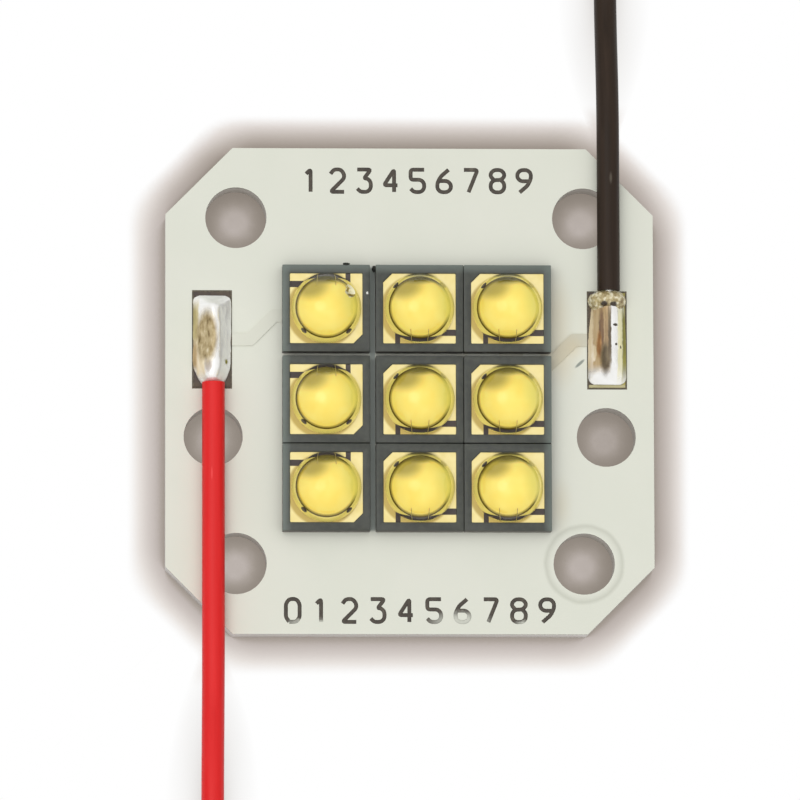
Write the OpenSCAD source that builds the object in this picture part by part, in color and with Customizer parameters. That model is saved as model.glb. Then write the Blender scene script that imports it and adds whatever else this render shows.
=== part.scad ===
// LED array: nine dome lensed emitters in a three by three block, soldered to a square white
// metal core board with chamfered corners, six fixing holes and two flying leads.
// Millimetres. X runs across the board, Y along it and Z out of its lit face.
// The origin is the middle of the board's bare back.

/* [Board] */
// Width of the board across X
board_w = 21.5; // [21:0.1:25]
// Length of the board along Y
board_l = 21.5; // [21:0.1:25]
// Leg of the chamfer on each corner
corner_cut = 2.95; // [1.5:0.05:3.4]
// Thickness of the aluminium base plate
plate_t = 1.5; // [1:0.1:3]
// Thickness of the insulating layer on the plate
dielectric_t = 0.1; // [0.05:0.01:0.2]
// Thickness of the copper
copper_t = 0.07; // [0.035:0.005:0.1]
// Thickness of the white solder mask, which rises over the copper
mask_t = 0.03; // [0.02:0.005:0.04]

/* [Fixing holes] */
// Diameter of the four corner holes
corner_hole_d = 2.7; // [2.2:0.1:3]
// Spacing of the corner holes across X
corner_hole_x = 15.3; // [15:0.1:16]
// Spacing of the corner holes along Y
corner_hole_y = 15.3; // [15:0.1:16]
// Diameter of the two side holes
side_hole_d = 2.6; // [2.2:0.1:2.8]
// Spacing of the side holes across X
side_hole_x = 17.3; // [16.5:0.1:17.6]
// Distance of the side holes below the middle of the board
side_hole_drop = 2.05; // [1.6:0.05:2.6]

/* [Emitter block] */
// Place of the middle emitter across X
block_x = 0.4; // [0:0.05:0.6]
// Place of the middle emitter along Y
block_y = -0.47; // [-0.6:0.01:0]
// Gap between the left and middle columns
left_gap = 0.25; // [0.03:0.01:0.3]
// Gap between the middle and right columns
right_gap = 0.02; // [0.02:0.01:0.2]
// Gap between the upper and middle rows
upper_gap = 0.17; // [0.03:0.01:0.3]
// Gap between the middle and lower rows
lower_gap = 0.03; // [0.02:0.01:0.2]
// Clearance between the emitters and the mask under them
led_clearance = 0.02; // [0.01:0.005:0.05]

/* [Emitter] */
// Side of the square moulded body
led_w = 3.85; // [3.7:0.05:4]
// Height of the moulded body
led_h = 0.75; // [0.7:0.05:1.2]
// Depth of the window in the top of the body
window_depth = 0.1; // [0.05:0.01:0.2]
// Room between the lens and the window across X
window_room_x = 0.06; // [0.02:0.01:0.1]
// Room between the lens and the window along Y
window_room_y = 0.01; // [0.01:0.01:0.08]
// Leg of the chamfer on the window's marked corner
window_notch = 0.4; // [0.2:0.05:0.5]
// Diameter of the lens
lens_d = 3.08; // [2.7:0.02:3.2]
// Height of the lens dome above the body
lens_h = 1.54; // [1.2:0.02:1.6]

/* [Lead frame] */
// Thickness of the lead frame's plate
frame_t = 0.3; // [0.2:0.02:0.4]
// How far the body's moulding laps over the edge of the plate
frame_lap = 0.1; // [0.05:0.01:0.12]
// Width of the small half that shows in the window
strip_w = 0.34; // [0.28:0.02:0.44]
// Width of the slot along the small half
slot_w = 0.28; // [0.2:0.02:0.34]
// Width of the slot across the end of the small half
end_slot_w = 0.22; // [0.16:0.02:0.3]
// Width of the large half that shows beside that slot
corner_land_w = 0.53; // [0.4:0.01:0.6]
// Diameter of the two holes that lock the large half in the moulding
lock_hole_d = 0.24; // [0.16:0.02:0.3]
// Distance of a lock hole from the middle of the emitter, along X and along Y
lock_hole_at = 0.77; // [0.76:0.01:0.88]
// Wall between the lock holes and the large foot under the plate
lock_wall = 0.05; // [0.03:0.01:0.08]
// How far the small foot stands in from the plate's side
foot_side = 0.45; // [0.4:0.01:0.5]
// How far the large foot stands in from the plate's ends
foot_end = 0.2; // [0.15:0.01:0.3]

/* [Chip] */
// Side of the chip
chip_w = 1; // [0.8:0.05:1.1]
// Thickness of the chip
chip_t = 0.12; // [0.08:0.01:0.2]
// Diameter of the phosphor drop over the chip
phosphor_d = 1.98; // [1.7:0.02:2.1]
// Height of the phosphor drop
phosphor_h = 0.5; // [0.4:0.02:0.6]
// Diameter of the two bond wires
bond_d = 0.025; // [0.025:0.005:0.05]
// Spacing of the two bond wires
bond_spacing = 0.6; // [0.4:0.05:0.7]
// Rise of a bond wire's arc over its two ends
bond_rise = 0.16; // [0.12:0.02:0.24]
// Distance of a bond from the edge of the chip
bond_edge = 0.1; // [0.06:0.01:0.15]

/* [Tracks] */
// Width of the two tracks that show beside the emitters
track_w = 0.5; // [0.4:0.02:0.6]
// Width of the tracks under the emitters
thin_track_w = 0.3; // [0.2:0.02:0.34]
// Width of the links between neighbours in a column
link_w = 1; // [0.6:0.05:1.2]
// How far the copper lands reach past the emitters' feet
land_lap = 0.1; // [0.06:0.01:0.12]
// Clearance of the mask around the emitters' feet
mask_relief = 0.03; // [0.02:0.01:0.05]
// How far in from the block's edge the thin tracks run
rise_inset = 0.25; // [0.22:0.01:0.28]
// Distance of the positive track's upper bend from the block
positive_bend = 0.35; // [0.3:0.05:0.6]
// Distance of the negative track's bend from the block
negative_bend = 1.05; // [0.9:0.05:1.2]
// How far below the middle of their emitters the visible tracks go in
track_drop = 0.25; // [0.1:0.05:0.35]

/* [Wire pads] */
// Width of a wire pad
pad_w = 1.6; // [1.4:0.05:1.7]
// Length of a wire pad
pad_l = 4.2; // [4:0.05:4.3]
// Spacing of the two pads across X
pad_spacing = 17.4; // [17:0.05:17.6]
// Height of the pads above the middle of the board
pad_y = 2.25; // [2.2:0.05:2.6]
// Gap between a pad and the mask around it
pad_gap = 0.08; // [0.04:0.01:0.12]
// Bare rim of the pad around its solder
pad_rim = 0.02; // [0.02:0.01:0.15]
// Thickness of the solder over the conductor
solder_cover = 0.15; // [0.1:0.01:0.16]
// Height of the solder's edge
solder_edge = 0.05; // [0.03:0.01:0.1]
// Radius of the solder's corners
solder_corner = 0.3; // [0.2:0.02:0.4]
// How far the solder's back slopes down towards its far end
solder_slope = 0.15; // [0.05:0.01:0.15]

/* [Leads] */
// Diameter of a lead over its insulation
lead_d = 1; // [0.9:0.05:1.1]
// Diameter of the bared conductor
conductor_d = 0.5; // [0.4:0.02:0.56]
// Length of the bared conductor
conductor_l = 3.1; // [2.6:0.1:3.2]
// Clearance between a lead and the mask
lead_clearance = 0.02; // [0.01:0.01:0.05]
// How far the leads lie to the right of the middle of their pads
lead_shift = 0.05; // [0:0.01:0.1]
// How far the positive lead's insulation reaches over its pad
positive_lap = 0.35; // [0.2:0.05:0.4]
// How far the negative lead's insulation stops short of its pad
negative_short = 0.05; // [0:0.01:0.1]

/* [Coils] */
// Width of a coil across its middle
coil_d = 10.5; // [10:0.5:12]
// Width of the coil's band of turns
coil_band_w = 3.5; // [3:0.5:4]
// Height of the coil
coil_h = 2.3; // [2:0.1:3]
// Chamfer on the coil's edges
coil_chamfer = 0.4; // [0.2:0.1:0.6]

/* [Hidden] */
$fn = 48;
rows = 3;
columns = 3;
led_count = rows * columns;
// Extra depth of a cut, so that it passes clean through
through = 0.5;

// Heights of the layers
dielectric_z = plate_t;
copper_z = dielectric_z + dielectric_t;
copper_top = copper_z + copper_t;
film_top = copper_z + mask_t;
led_solder_t = mask_t + led_clearance;
led_z = copper_top + led_solder_t;

// Lead frame, from the middle of an emitter's underside
window_w = lens_d + 2 * window_room_x;
window_l = lens_d + 2 * window_room_y;
plate_half_w = window_w / 2 + frame_lap;
plate_half_l = window_l / 2 + frame_lap;
frame_top = led_h - window_depth;
foot_h = frame_top - frame_t;
strip_top = strip_w - window_l / 2;
slot_top = strip_top + slot_w;
end_slot_left = corner_land_w - window_w / 2;
strip_left = end_slot_left + end_slot_w;
strip_foot = [[strip_left, -plate_half_l], [plate_half_w - foot_side, strip_top]];
large_foot_half = lock_hole_at - lock_hole_d / 2 - lock_wall;
large_foot = [[-large_foot_half, slot_top + foot_end],
              [large_foot_half, plate_half_l - foot_end]];
feet = [strip_foot, large_foot];
strip_mid = (strip_foot[0] + strip_foot[1]) / 2;

// Bond wire, an arc in a plane across the slot
bond_start = [bond_edge - chip_w / 2, frame_top + chip_t];
bond_end = [strip_top - strip_w / 2, frame_top];
bond_span = norm(bond_start - bond_end);
bond_r = (bond_span * bond_span / 4 + bond_rise * bond_rise) / (2 * bond_rise);
bond_up = [bond_end[1] - bond_start[1], bond_start[0] - bond_end[0]] / bond_span;
bond_mid = (bond_start + bond_end) / 2 - (bond_r - bond_rise) * bond_up;

// Pads and conductors, positive on the left and negative on the right
sides = [-1, 1];
lead_z = film_top + lead_clearance + lead_d / 2;
insulation_y = [pad_y - pad_l / 2 + positive_lap, pad_y + pad_l / 2 + negative_short];

// Route of each lead from its insulation's end to its coil
positive_route = [
    [-8.65, 0.5, 2.15], [-8.65, -2, 2.15], [-8.65, -4, 2.15], [-8.65, -6, 2.15],
    [-8.65, -8, 2.15], [-8.65, -10.5, 2.15], [-8.65, -11.5, 2.12], [-8.65, -12.5, 2.02],
    [-8.65, -13.5, 1.83], [-8.65, -14.5, 1.56], [-8.65, -15.5, 1.26], [-8.65, -16.5, 0.99],
    [-8.65, -17.5, 0.8], [-8.65, -18.5, 0.69], [-8.65, -19.5, 0.65], [-8.65, -22, 0.65]];
negative_route = [
    [8.75, 4.4, 2.15], [8.75, 6, 2.15], [8.75, 8, 2.15], [8.75, 10.5, 2.15],
    [8.75, 11.5, 2.12], [8.75, 12.5, 2.02], [8.75, 13.5, 1.83], [8.75, 14.5, 1.56],
    [8.75, 15.5, 1.26], [8.75, 16.5, 0.99], [8.75, 17.5, 0.8], [8.75, 18.5, 0.69],
    [8.75, 19.5, 0.65], [8.75, 22, 0.65]];
lead_sides = 8;
// Straight lead between the end of a route and the place where its coil begins
coil_run = 4;

led_pieces = ["body", "leadframe", "chip", "phosphor", "lens"];

// Places of the emitters, counted along the rows from the upper left
function led_column(i) = (i - 1) % columns;
function led_row(i) = floor((i - 1) / columns);
function led_x(i) = block_x + [-led_w - left_gap, 0, led_w + right_gap][led_column(i)];
function led_y(i) = block_y + [led_w + upper_gap, 0, -led_w - lower_gap][led_row(i)];
// The left column is turned half a turn
function led_turn(i) = led_column(i) == 0 ? 180 : 0;
function led_flip(i) = led_column(i) == 0 ? -1 : 1;
function strip_at(i) = [led_x(i), led_y(i)] + led_flip(i) * strip_mid;
function led_at(i) = [led_x(i), led_y(i)];

module at_led(i) {
    translate([led_x(i), led_y(i), led_z])
    rotate([0, 0, led_turn(i)])
    children();
}

// Board layers
module board_outline() {
    x = board_w / 2;
    y = board_l / 2;
    c = corner_cut;
    polygon([[x, c - y], [x, y - c], [x - c, y], [c - x, y],
             [-x, y - c], [-x, c - y], [c - x, -y], [x - c, -y]]);
}

module fixing_holes(z, t) {
    for (sx = sides) {
        for (sy = sides)
            translate([sx * corner_hole_x / 2, sy * corner_hole_y / 2, z - through])
            cylinder(d = corner_hole_d, h = t + 2 * through);
        translate([sx * side_hole_x / 2, -side_hole_drop, z - through])
        cylinder(d = side_hole_d, h = t + 2 * through);
    }
}

module board_layer(z, t) {
    difference() {
        translate([0, 0, z])
        linear_extrude(t)
        board_outline();
        fixing_holes(z, t);
    }
}

module base_plate() {
    color([0.72, 0.73, 0.74])
    board_layer(0, plate_t);
}

module dielectric_layer() {
    color([0.35, 0.31, 0.25])
    board_layer(dielectric_z, dielectric_t);
}

// Copper: a box between two corners, and a track along straight runs with round ends
module slab(corners, z, t, grow) {
    size = corners[1] - corners[0];
    translate([corners[0][0] - grow, corners[0][1] - grow, z])
    cube([size[0] + 2 * grow, size[1] + 2 * grow, t]);
}

module track(points, w, z, t) {
    for (p = points)
        translate([p[0], p[1], z])
        cylinder(d = w, h = t);
    for (k = [1:len(points) - 1]) {
        run = points[k] - points[k - 1];
        translate([points[k - 1][0], points[k - 1][1], z])
        rotate([0, 0, atan2(run[1], run[0])])
        translate([0, -w / 2, 0])
        cube([norm(run), w, t]);
    }
}

module wire_pad(side, z, t, grow) {
    middle = [side * pad_spacing / 2, pad_y];
    half = [pad_w, pad_l] / 2;
    slab([middle - half, middle + half], z, t, grow);
}

module led_feet(i, z, t, grow) {
    translate([led_x(i), led_y(i), 0])
    rotate([0, 0, led_turn(i)])
    for (foot = feet)
        slab(foot, z, t, grow);
}

// The nine emitters are in series: down the left column, up the middle one, then up the right
module copper_pattern(t, grow) {
    w = track_w + 2 * grow;
    thin = thin_track_w + 2 * grow;
    link = link_w + 2 * grow;
    for (side = sides)
        wire_pad(side, copper_z, t, grow);
    for (i = [1:led_count])
        led_feet(i, copper_z, t, land_lap + grow);
    for (i = [1, 4])
        track([[strip_at(i + columns)[0], led_y(i)], strip_at(i + columns)], link, copper_z, t);
    for (i = [2, 3, 5, 6])
        track([strip_at(i), [strip_at(i)[0], led_y(i + columns)]], link, copper_z, t);
    track([[led_x(7), strip_at(8)[1]], strip_at(8)], thin, copper_z, t);
    between = (led_x(2) + led_x(3)) / 2;
    track([led_at(2), [between, led_y(2)], [between, strip_at(9)[1]], strip_at(9)],
          thin, copper_z, t);
    positive_tracks(w, thin, t);
    negative_tracks(w, thin, t);
}

module positive_tracks(w, thin, t) {
    edge = led_x(1) - led_w / 2;
    enter_y = led_y(1) - track_drop;
    upper = [edge - positive_bend, enter_y];
    lower = [upper[0] - (enter_y - pad_y), pad_y];
    rise = [edge + rise_inset, enter_y];
    track([[-pad_spacing / 2, pad_y], lower, upper, rise], w, copper_z, t);
    track([rise, [rise[0], strip_at(1)[1]], strip_at(1)], thin, copper_z, t);
}

module negative_tracks(w, thin, t) {
    edge = led_x(3) + led_w / 2;
    bend = [edge + negative_bend, pad_y];
    rise = [edge - rise_inset, pad_y - negative_bend - rise_inset];
    top = [rise[0], led_y(3) - track_drop];
    track([[pad_spacing / 2, pad_y], bend, rise], w, copper_z, t);
    track([rise, top, [led_x(3), top[1]]], thin, copper_z, t);
}

module copper_tracks() {
    color([0.78, 0.55, 0.35])
    copper_pattern(copper_t, 0);
}

module solder_mask() {
    color([0.88, 0.89, 0.83])
    difference() {
        union() {
            board_layer(copper_z, mask_t);
            copper_pattern(copper_t + mask_t, mask_t);
        }
        copper_pattern(copper_t, 0);
        for (side = sides)
            wire_pad(side, copper_z - through, 2 * through, pad_gap);
        for (i = [1:led_count])
            led_feet(i, copper_z - through, 2 * through, mask_relief);
    }
}

module led_solder_joints() {
    color([0.75, 0.75, 0.74])
    for (i = [1:led_count])
        led_feet(i, copper_top, led_solder_t, 0);
}

// Emitter, about the middle of its underside
module large_plate() {
    translate([0, 0, foot_h])
    linear_extrude(frame_t)
    difference() {
        polygon([[-plate_half_w, plate_half_l], [plate_half_w, plate_half_l],
                 [plate_half_w, slot_top], [end_slot_left, slot_top],
                 [end_slot_left, -plate_half_l], [-plate_half_w, -plate_half_l]]);
        for (side = sides)
            translate([side * lock_hole_at, lock_hole_at])
            circle(d = lock_hole_d, $fn = 24);
    }
}

module frame_halves() {
    large_plate();
    slab([[strip_left, -plate_half_l], [plate_half_w, strip_top]], foot_h, frame_t, 0);
    for (foot = feet)
        slab(foot, 0, foot_h, 0);
}

module window() {
    x = window_w / 2;
    y = window_l / 2;
    translate([0, 0, frame_top])
    linear_extrude(window_depth + through)
    polygon([[-x, -y], [x, -y], [x, y], [window_notch - x, y], [-x, y - window_notch]]);
}

module led_body(i) {
    color([0.36, 0.38, 0.36])
    at_led(i)
    difference() {
        translate([-led_w / 2, -led_w / 2, 0])
        cube([led_w, led_w, led_h]);
        window();
        frame_halves();
    }
}

module led_leadframe(i) {
    color([0.86, 0.81, 0.52])
    at_led(i)
    frame_halves();
}

module chip() {
    translate([-chip_w / 2, -chip_w / 2, frame_top])
    cube([chip_w, chip_w, chip_t]);
}

// Part of a ball, standing on a flat base
module cap(base_r, h) {
    r = (base_r * base_r + h * h) / (2 * h);
    intersection() {
        translate([0, 0, h - r])
        sphere(r, $fn = 96);
        translate([-r, -r, 0])
        cube([2 * r, 2 * r, h + through]);
    }
}

module phosphor_drop() {
    translate([0, 0, frame_top])
    cap(phosphor_d / 2, phosphor_h);
}

module bonds() {
    for (side = sides)
        difference() {
            translate([side * bond_spacing / 2, bond_mid[0], bond_mid[1]])
            rotate([0, 90, 0])
            rotate_extrude($fn = 96)
            translate([bond_r, 0])
            circle(d = bond_d, $fn = 32);
            translate([-led_w / 2, -led_w / 2, frame_top - led_w])
            cube([led_w, led_w, led_w]);
            chip();
        }
}

module led_chip(i) {
    color([0.9, 0.86, 0.55])
    at_led(i)
    chip();
}

module led_phosphor(i) {
    color([0.97, 0.9, 0.45])
    at_led(i)
    difference() {
        phosphor_drop();
        chip();
        bonds();
    }
}

module led_lens(i) {
    color([0.95, 0.95, 0.85, 0.4])
    at_led(i)
    difference() {
        union() {
            translate([0, 0, frame_top])
            cylinder(d = lens_d, h = window_depth, $fn = 96);
            translate([0, 0, led_h])
            cap(lens_d / 2, lens_h);
        }
        phosphor_drop();
        bonds();
    }
}

module bond_wires() {
    color([0.9, 0.75, 0.35])
    for (i = [1:led_count])
        at_led(i)
        bonds();
}

// Leads: side 0 is positive and side 1 is negative
function toward(side) = side == 0 ? 1 : -1;
function lead_x(side) = sides[side] * pad_spacing / 2 + lead_shift;
function far_y(side) = pad_y + toward(side) * (pad_l / 2 - pad_rim);

module conductor(side) {
    translate([lead_x(side), insulation_y[side], lead_z])
    rotate([-90 * toward(side), 0, 0])
    cylinder(d = conductor_d, h = conductor_l);
}

module solder(side) {
    d = toward(side);
    r = conductor_d / 2 + solder_cover;
    near = insulation_y[side];
    pad_x = sides[side] * pad_spacing / 2;
    spread = pad_w / 2 - pad_rim - solder_corner;
    difference() {
        hull() {
            for (s = sides) {
                translate([pad_x + s * spread, far_y(side) - d * solder_corner, copper_top])
                cylinder(r = solder_corner, h = solder_edge, $fn = 32);
                translate([pad_x + s * spread, pad_y, copper_top])
                cylinder(r = solder_corner, h = solder_edge, $fn = 32);
                translate([lead_x(side) + s * (r - solder_edge), near + d * solder_corner, copper_top])
                cylinder(r = solder_corner, h = solder_edge, $fn = 32);
            }
            translate([lead_x(side), near + d * r, lead_z])
            sphere(r, $fn = 32);
            translate([lead_x(side), near + d * conductor_l, lead_z - solder_slope])
            sphere(r, $fn = 32);
        }
        translate([pad_x - pad_w, pad_y - pad_l, copper_top - through])
        cube([2 * pad_w, 2 * pad_l, through]);
        conductor(side);
    }
}

// Round tube swept along a route that stays in one upright plane
function route_slope(route, k) =
    let (a = route[max(k - 1, 0)], b = route[min(k + 1, len(route) - 1)], run = b - a)
    run / norm(run);
function tube_ring(route, k) =
    let (slope = route_slope(route, k), up = [0, -slope[2], slope[1]])
    [for (s = [0:lead_sides - 1])
        let (a = (s + 0.5) * 360 / lead_sides)
        route[k] + lead_d / 2 * (cos(a) * [1, 0, 0] + sin(a) * up)];

module tube(route) {
    n = lead_sides;
    last = (len(route) - 1) * n;
    points = [for (k = [0:len(route) - 1]) each tube_ring(route, k)];
    walls = [for (k = [1:len(route) - 1]) for (s = [0:n - 1])
        [(k - 1) * n + s, (k - 1) * n + (s + 1) % n, k * n + (s + 1) % n, k * n + s]];
    ends = [[for (s = [0:n - 1]) n - 1 - s], [for (s = [0:n - 1]) last + s]];
    polyhedron(points, concat(walls, ends));
}

// Round coil that the rest of a lead lies in, with the straight run into it
module coil(route, side) {
    tail = route[len(route) - 1];
    d = -toward(side);
    r = coil_d / 2;
    half = coil_band_w / 2;
    c = coil_chamfer;
    start = [tail[0], tail[1] + d * coil_run, 0];
    translate(start - [sides[side] * (r + half - lead_d / 2), 0, 0])
    rotate_extrude($fn = 96)
    polygon([[r - half + c, 0], [r + half - c, 0], [r + half, c], [r + half, coil_h - c],
             [r + half - c, coil_h], [r - half + c, coil_h], [r - half, coil_h - c],
             [r - half, c]]);
    translate(tail)
    rotate([-90 * d, 0, 0])
    cylinder(d = lead_d, h = coil_run);
}

base_plate();
dielectric_layer();
copper_tracks();
solder_mask();
led_solder_joints();
bond_wires();
color([0.8, 0.79, 0.76]) solder(0);  // positive_solder
color([0.8, 0.79, 0.76]) solder(1);  // negative_solder
color([0.77, 0.75, 0.7]) conductor(0);  // positive_conductor
color([0.77, 0.75, 0.7]) conductor(1);  // negative_conductor
color([0.9, 0.2, 0.2]) tube(positive_route);  // positive_lead
color([0.2, 0.17, 0.14]) tube(negative_route);  // negative_lead
color([0.9, 0.2, 0.2]) coil(positive_route, 0);  // positive_coil
color([0.2, 0.17, 0.14]) coil(negative_route, 1);  // negative_coil
for (i = [1:led_count]) {
    led_body(i);
    led_leadframe(i);
    led_chip(i);
    led_phosphor(i);
    led_lens(i);
}
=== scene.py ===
# %% [markdown]
# # An LED array, dressed in Blender
# Nine domed emitters sit on a white metal core board with a red and a black flying lead. The solids
# come from a CAD model that stays where it is. This lesson gives each solid its finish, and models
# again the pieces whose softness a CAD solid can't show: the leads, the solder, the lenses and the
# moulded bodies.

# %% Load the frame
import bpy
import math
from mathutils import Matrix, Vector


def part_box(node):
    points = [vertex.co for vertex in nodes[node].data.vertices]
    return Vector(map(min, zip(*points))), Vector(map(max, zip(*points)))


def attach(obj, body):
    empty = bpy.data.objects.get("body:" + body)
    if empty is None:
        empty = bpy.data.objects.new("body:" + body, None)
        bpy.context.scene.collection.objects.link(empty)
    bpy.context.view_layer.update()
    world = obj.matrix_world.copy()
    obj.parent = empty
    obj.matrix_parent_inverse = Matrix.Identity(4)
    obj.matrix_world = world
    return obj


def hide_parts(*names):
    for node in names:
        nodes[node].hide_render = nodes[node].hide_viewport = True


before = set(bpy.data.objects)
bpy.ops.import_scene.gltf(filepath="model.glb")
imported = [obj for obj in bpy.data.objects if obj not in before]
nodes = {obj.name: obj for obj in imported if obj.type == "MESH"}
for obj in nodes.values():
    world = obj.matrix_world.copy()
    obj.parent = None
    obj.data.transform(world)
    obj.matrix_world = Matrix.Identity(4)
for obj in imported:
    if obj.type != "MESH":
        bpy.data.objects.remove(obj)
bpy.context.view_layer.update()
MM = 0.001

# %% [markdown]
# ## Camera
# The picture looks almost straight down on the board, leaning in a little from the lower left, so that
# domes and other tall pieces lean to the upper right. A long lens far off keeps the square board square.
# The camera looks at the point of the board that lies in the middle of the picture, so it needs no shift,
# and it is rolled so that the board's two directions lie level and upright to the same degree.

# %% Camera
PICTURE_SIDE = 800
PIXELS_PER_MM = 22.74
LENS_MM = 400
SENSOR_MM = 36
NEAREST_SEEN = 10 * MM
LEAN_SOUTH = math.radians(6.5)
LEAN_WEST = math.radians(2.5)
PICTURE_MIDDLE = (-0.435, -0.422)
mask_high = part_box("solder_mask")[1]
aim = Vector((PICTURE_MIDDLE[0] * MM, PICTURE_MIDDLE[1] * MM, mask_high.z))
view_width = PICTURE_SIDE / PIXELS_PER_MM * MM
distance = view_width * LENS_MM / SENSOR_MM
back = Vector((-math.tan(LEAN_WEST), -math.tan(LEAN_SOUTH), 1)).normalized()
board_across = (Vector((1, 0, 0)) - back * back.x).normalized()
board_along = (Vector((0, 1, 0)) - back * back.y).normalized()
right = (board_across + board_along.cross(back)).normalized()
turn = Matrix((right, back.cross(right), back)).transposed()
bpy.ops.object.select_all(action="DESELECT")
bpy.ops.object.camera_add(location=aim + back * distance, rotation=turn.to_euler())
camera = bpy.context.object
camera.data.lens = LENS_MM
camera.data.sensor_width = SENSOR_MM
camera.data.clip_start = NEAREST_SEEN
bpy.context.scene.camera = camera
print("camera:", round(distance / MM), "mm away, view", round(view_width / MM, 2), "mm wide")

# %% [markdown]
# ## Leads
# Each lead is one length of thin stranded wire in PVC. It leaves its solder joint straight, runs off
# the edge of the board, comes down to the table, and the rest of it is wound into a coil. A Bezier
# curve with automatic handles passes through every point of the route, and its bevel is the insulation.
# The route is a list of places along Y with the height at each, in millimetres. The coil is worked
# out: two turns inwards on the table, half a turn to climb, and two and a half turns back out on top.

# %% Lead routes
LEAD_RADIUS = 0.5 * MM
LOW_TURNS = 2
CLIMB_TURNS = 0.5
HIGH_TURNS = 2.5
ALL_TURNS = LOW_TURNS + CLIMB_TURNS + HIGH_TURNS
STEPS_PER_TURN = 16
TURN_PITCH = 1.0
COIL_RADIUS = 6.5
COIL_Y = 26
LOW_HEIGHT = 0.65
HIGH_HEIGHT = 1.65
drop_over_edge = [(10.5, 2.15), (11.5, 2.12), (12.5, 2.02), (13.5, 1.83), (14.5, 1.56), (15.5, 1.26),
                  (16.5, 0.99), (17.5, 0.8), (18.5, 0.69), (19.5, 0.65), (22, 0.65)]
red_start = [(-0.3, 2.15), (2, 2.15), (4, 2.15), (6, 2.15), (8, 2.15)]
black_start = [(4.4, 2.15), (6, 2.15), (8, 2.15)]
red_x = -8.65
black_x = 8.75


def coil_point(x, side, turns):
    """A point of the coil, in millimetres, of the lead at x after a number of turns."""
    inward = min(turns, LOW_TURNS + CLIMB_TURNS)
    outward = turns - inward
    climb = min(max((turns - LOW_TURNS) / CLIMB_TURNS, 0), 1)
    smooth = climb * climb * (3 - 2 * climb)
    radius = COIL_RADIUS + (outward - inward) * TURN_PITCH
    height = LOW_HEIGHT + (HIGH_HEIGHT - LOW_HEIGHT) * smooth
    angle = 2 * math.pi * turns
    return Vector((x - side * COIL_RADIUS + side * radius * math.cos(angle),
                   side * COIL_Y + side * radius * math.sin(angle), height))


def lead_route(x, side, start):
    """The whole centreline, in metres, of the lead at x that leaves along side (1 or -1) of Y."""
    points = [Vector((x, side * y, z)) for y, z in start + drop_over_edge]
    steps = round(ALL_TURNS * STEPS_PER_TURN)
    points += [coil_point(x, side, step / STEPS_PER_TURN) for step in range(steps + 1)]
    return [p * MM for p in points]


red_route = lead_route(red_x, -1, red_start)
black_route = lead_route(black_x, 1, black_start)
print("routes:", len(red_route), "and", len(black_route), "points")

# %% Insulation of the two leads
LEAD_ROUNDNESS = 5
LEAD_STEPS = 5


def select_only(thing):
    """Selects one object and makes it the active one."""
    bpy.ops.object.select_all(action="DESELECT")
    thing.select_set(True)
    bpy.context.view_layer.objects.active = thing


def put_in_scene(name, data):
    """A new object with this data, alone selected."""
    made = bpy.data.objects.new(name, data)
    bpy.context.collection.objects.link(made)
    select_only(made)
    return made


def round_line(name, radius, roundness):
    """A curve whose bevel is round, with closed ends."""
    curve = bpy.data.curves.new(name, "CURVE")
    curve.dimensions = "3D"
    curve.bevel_depth = radius
    curve.bevel_resolution = roundness
    curve.use_fill_caps = True
    return curve


def insulation(name, route):
    """A round tube along the route."""
    curve = round_line(name, LEAD_RADIUS, LEAD_ROUNDNESS)
    curve.resolution_u = LEAD_STEPS
    spline = curve.splines.new("BEZIER")
    spline.bezier_points.add(len(route) - 1)
    for point, place in zip(spline.bezier_points, route):
        point.co = place
        point.handle_left_type = "AUTO"
        point.handle_right_type = "AUTO"
    return put_in_scene(name, curve)


red_lead = insulation("red_lead", red_route)
black_lead = insulation("black_lead", black_route)
for lead in (red_lead, black_lead):
    print(lead.name, round(lead.data.splines[0].calc_length() / MM, 1), "mm")

# %% [markdown]
# ## Colours and finishes
# Colours are written as sRGB hex, the way a colour picker shows them, and turned to linear light once.
# One small function adds a node, sets its inputs or properties and links what feeds it. Every finish
# starts from a Principled shader whose even values sit on its own sockets.

# %% Helpers for finishes
PATTERN_LOW = 0.3
PATTERN_HIGH = 0.7


def colour(hex_text):
    """Linear RGBA of an sRGB hex colour."""
    parts = [int(hex_text[i:i + 2], 16) / 255 for i in (1, 3, 5)]
    linear = [p / 12.92 if p <= 0.04045 else ((p + 0.055) / 1.055) ** 2.4 for p in parts]
    return (*linear, 1)


def per_size(size_mm):
    """Scale of a pattern whose features are this big."""
    return 1 / (size_mm * MM)


def add_node(tree, kind, settings=None, links=None):
    """Adds a node; settings and links go by input name or number, or by property name."""
    node = tree.nodes.new(kind)
    for key, value in (settings or {}).items():
        if key == "stops":
            while len(node.color_ramp.elements) < len(value):
                node.color_ramp.elements.new(1)
            for element, (position, hex_text) in zip(node.color_ramp.elements, value):
                element.position = position
                element.color = colour(hex_text)
        elif isinstance(key, int) or key in node.inputs:
            node.inputs[key].default_value = value
        else:
            setattr(node, key, value)
    for key, source in (links or {}).items():
        tree.links.new(source, node.inputs[key])
    return node


def new_finish(name, **sockets):
    """A material with a Principled shader; returns it with its tree, shader and Object coordinates."""
    finish = bpy.data.materials.new(name)
    finish.use_nodes = True
    tree = finish.node_tree
    shader = tree.nodes["Principled BSDF"]
    for socket, value in sockets.items():
        shader.inputs[socket.replace("_", " ")].default_value = value
    place = add_node(tree, "ShaderNodeTexCoord").outputs["Object"]
    return finish, tree, shader, place


def bump(tree, shader, height, depth_mm):
    """Raises the surface by a height pattern."""
    node = add_node(tree, "ShaderNodeBump", {"Strength": 1, "Distance": depth_mm * MM}, {"Height": height})
    tree.links.new(node.outputs["Normal"], shader.inputs["Normal"])


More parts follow.
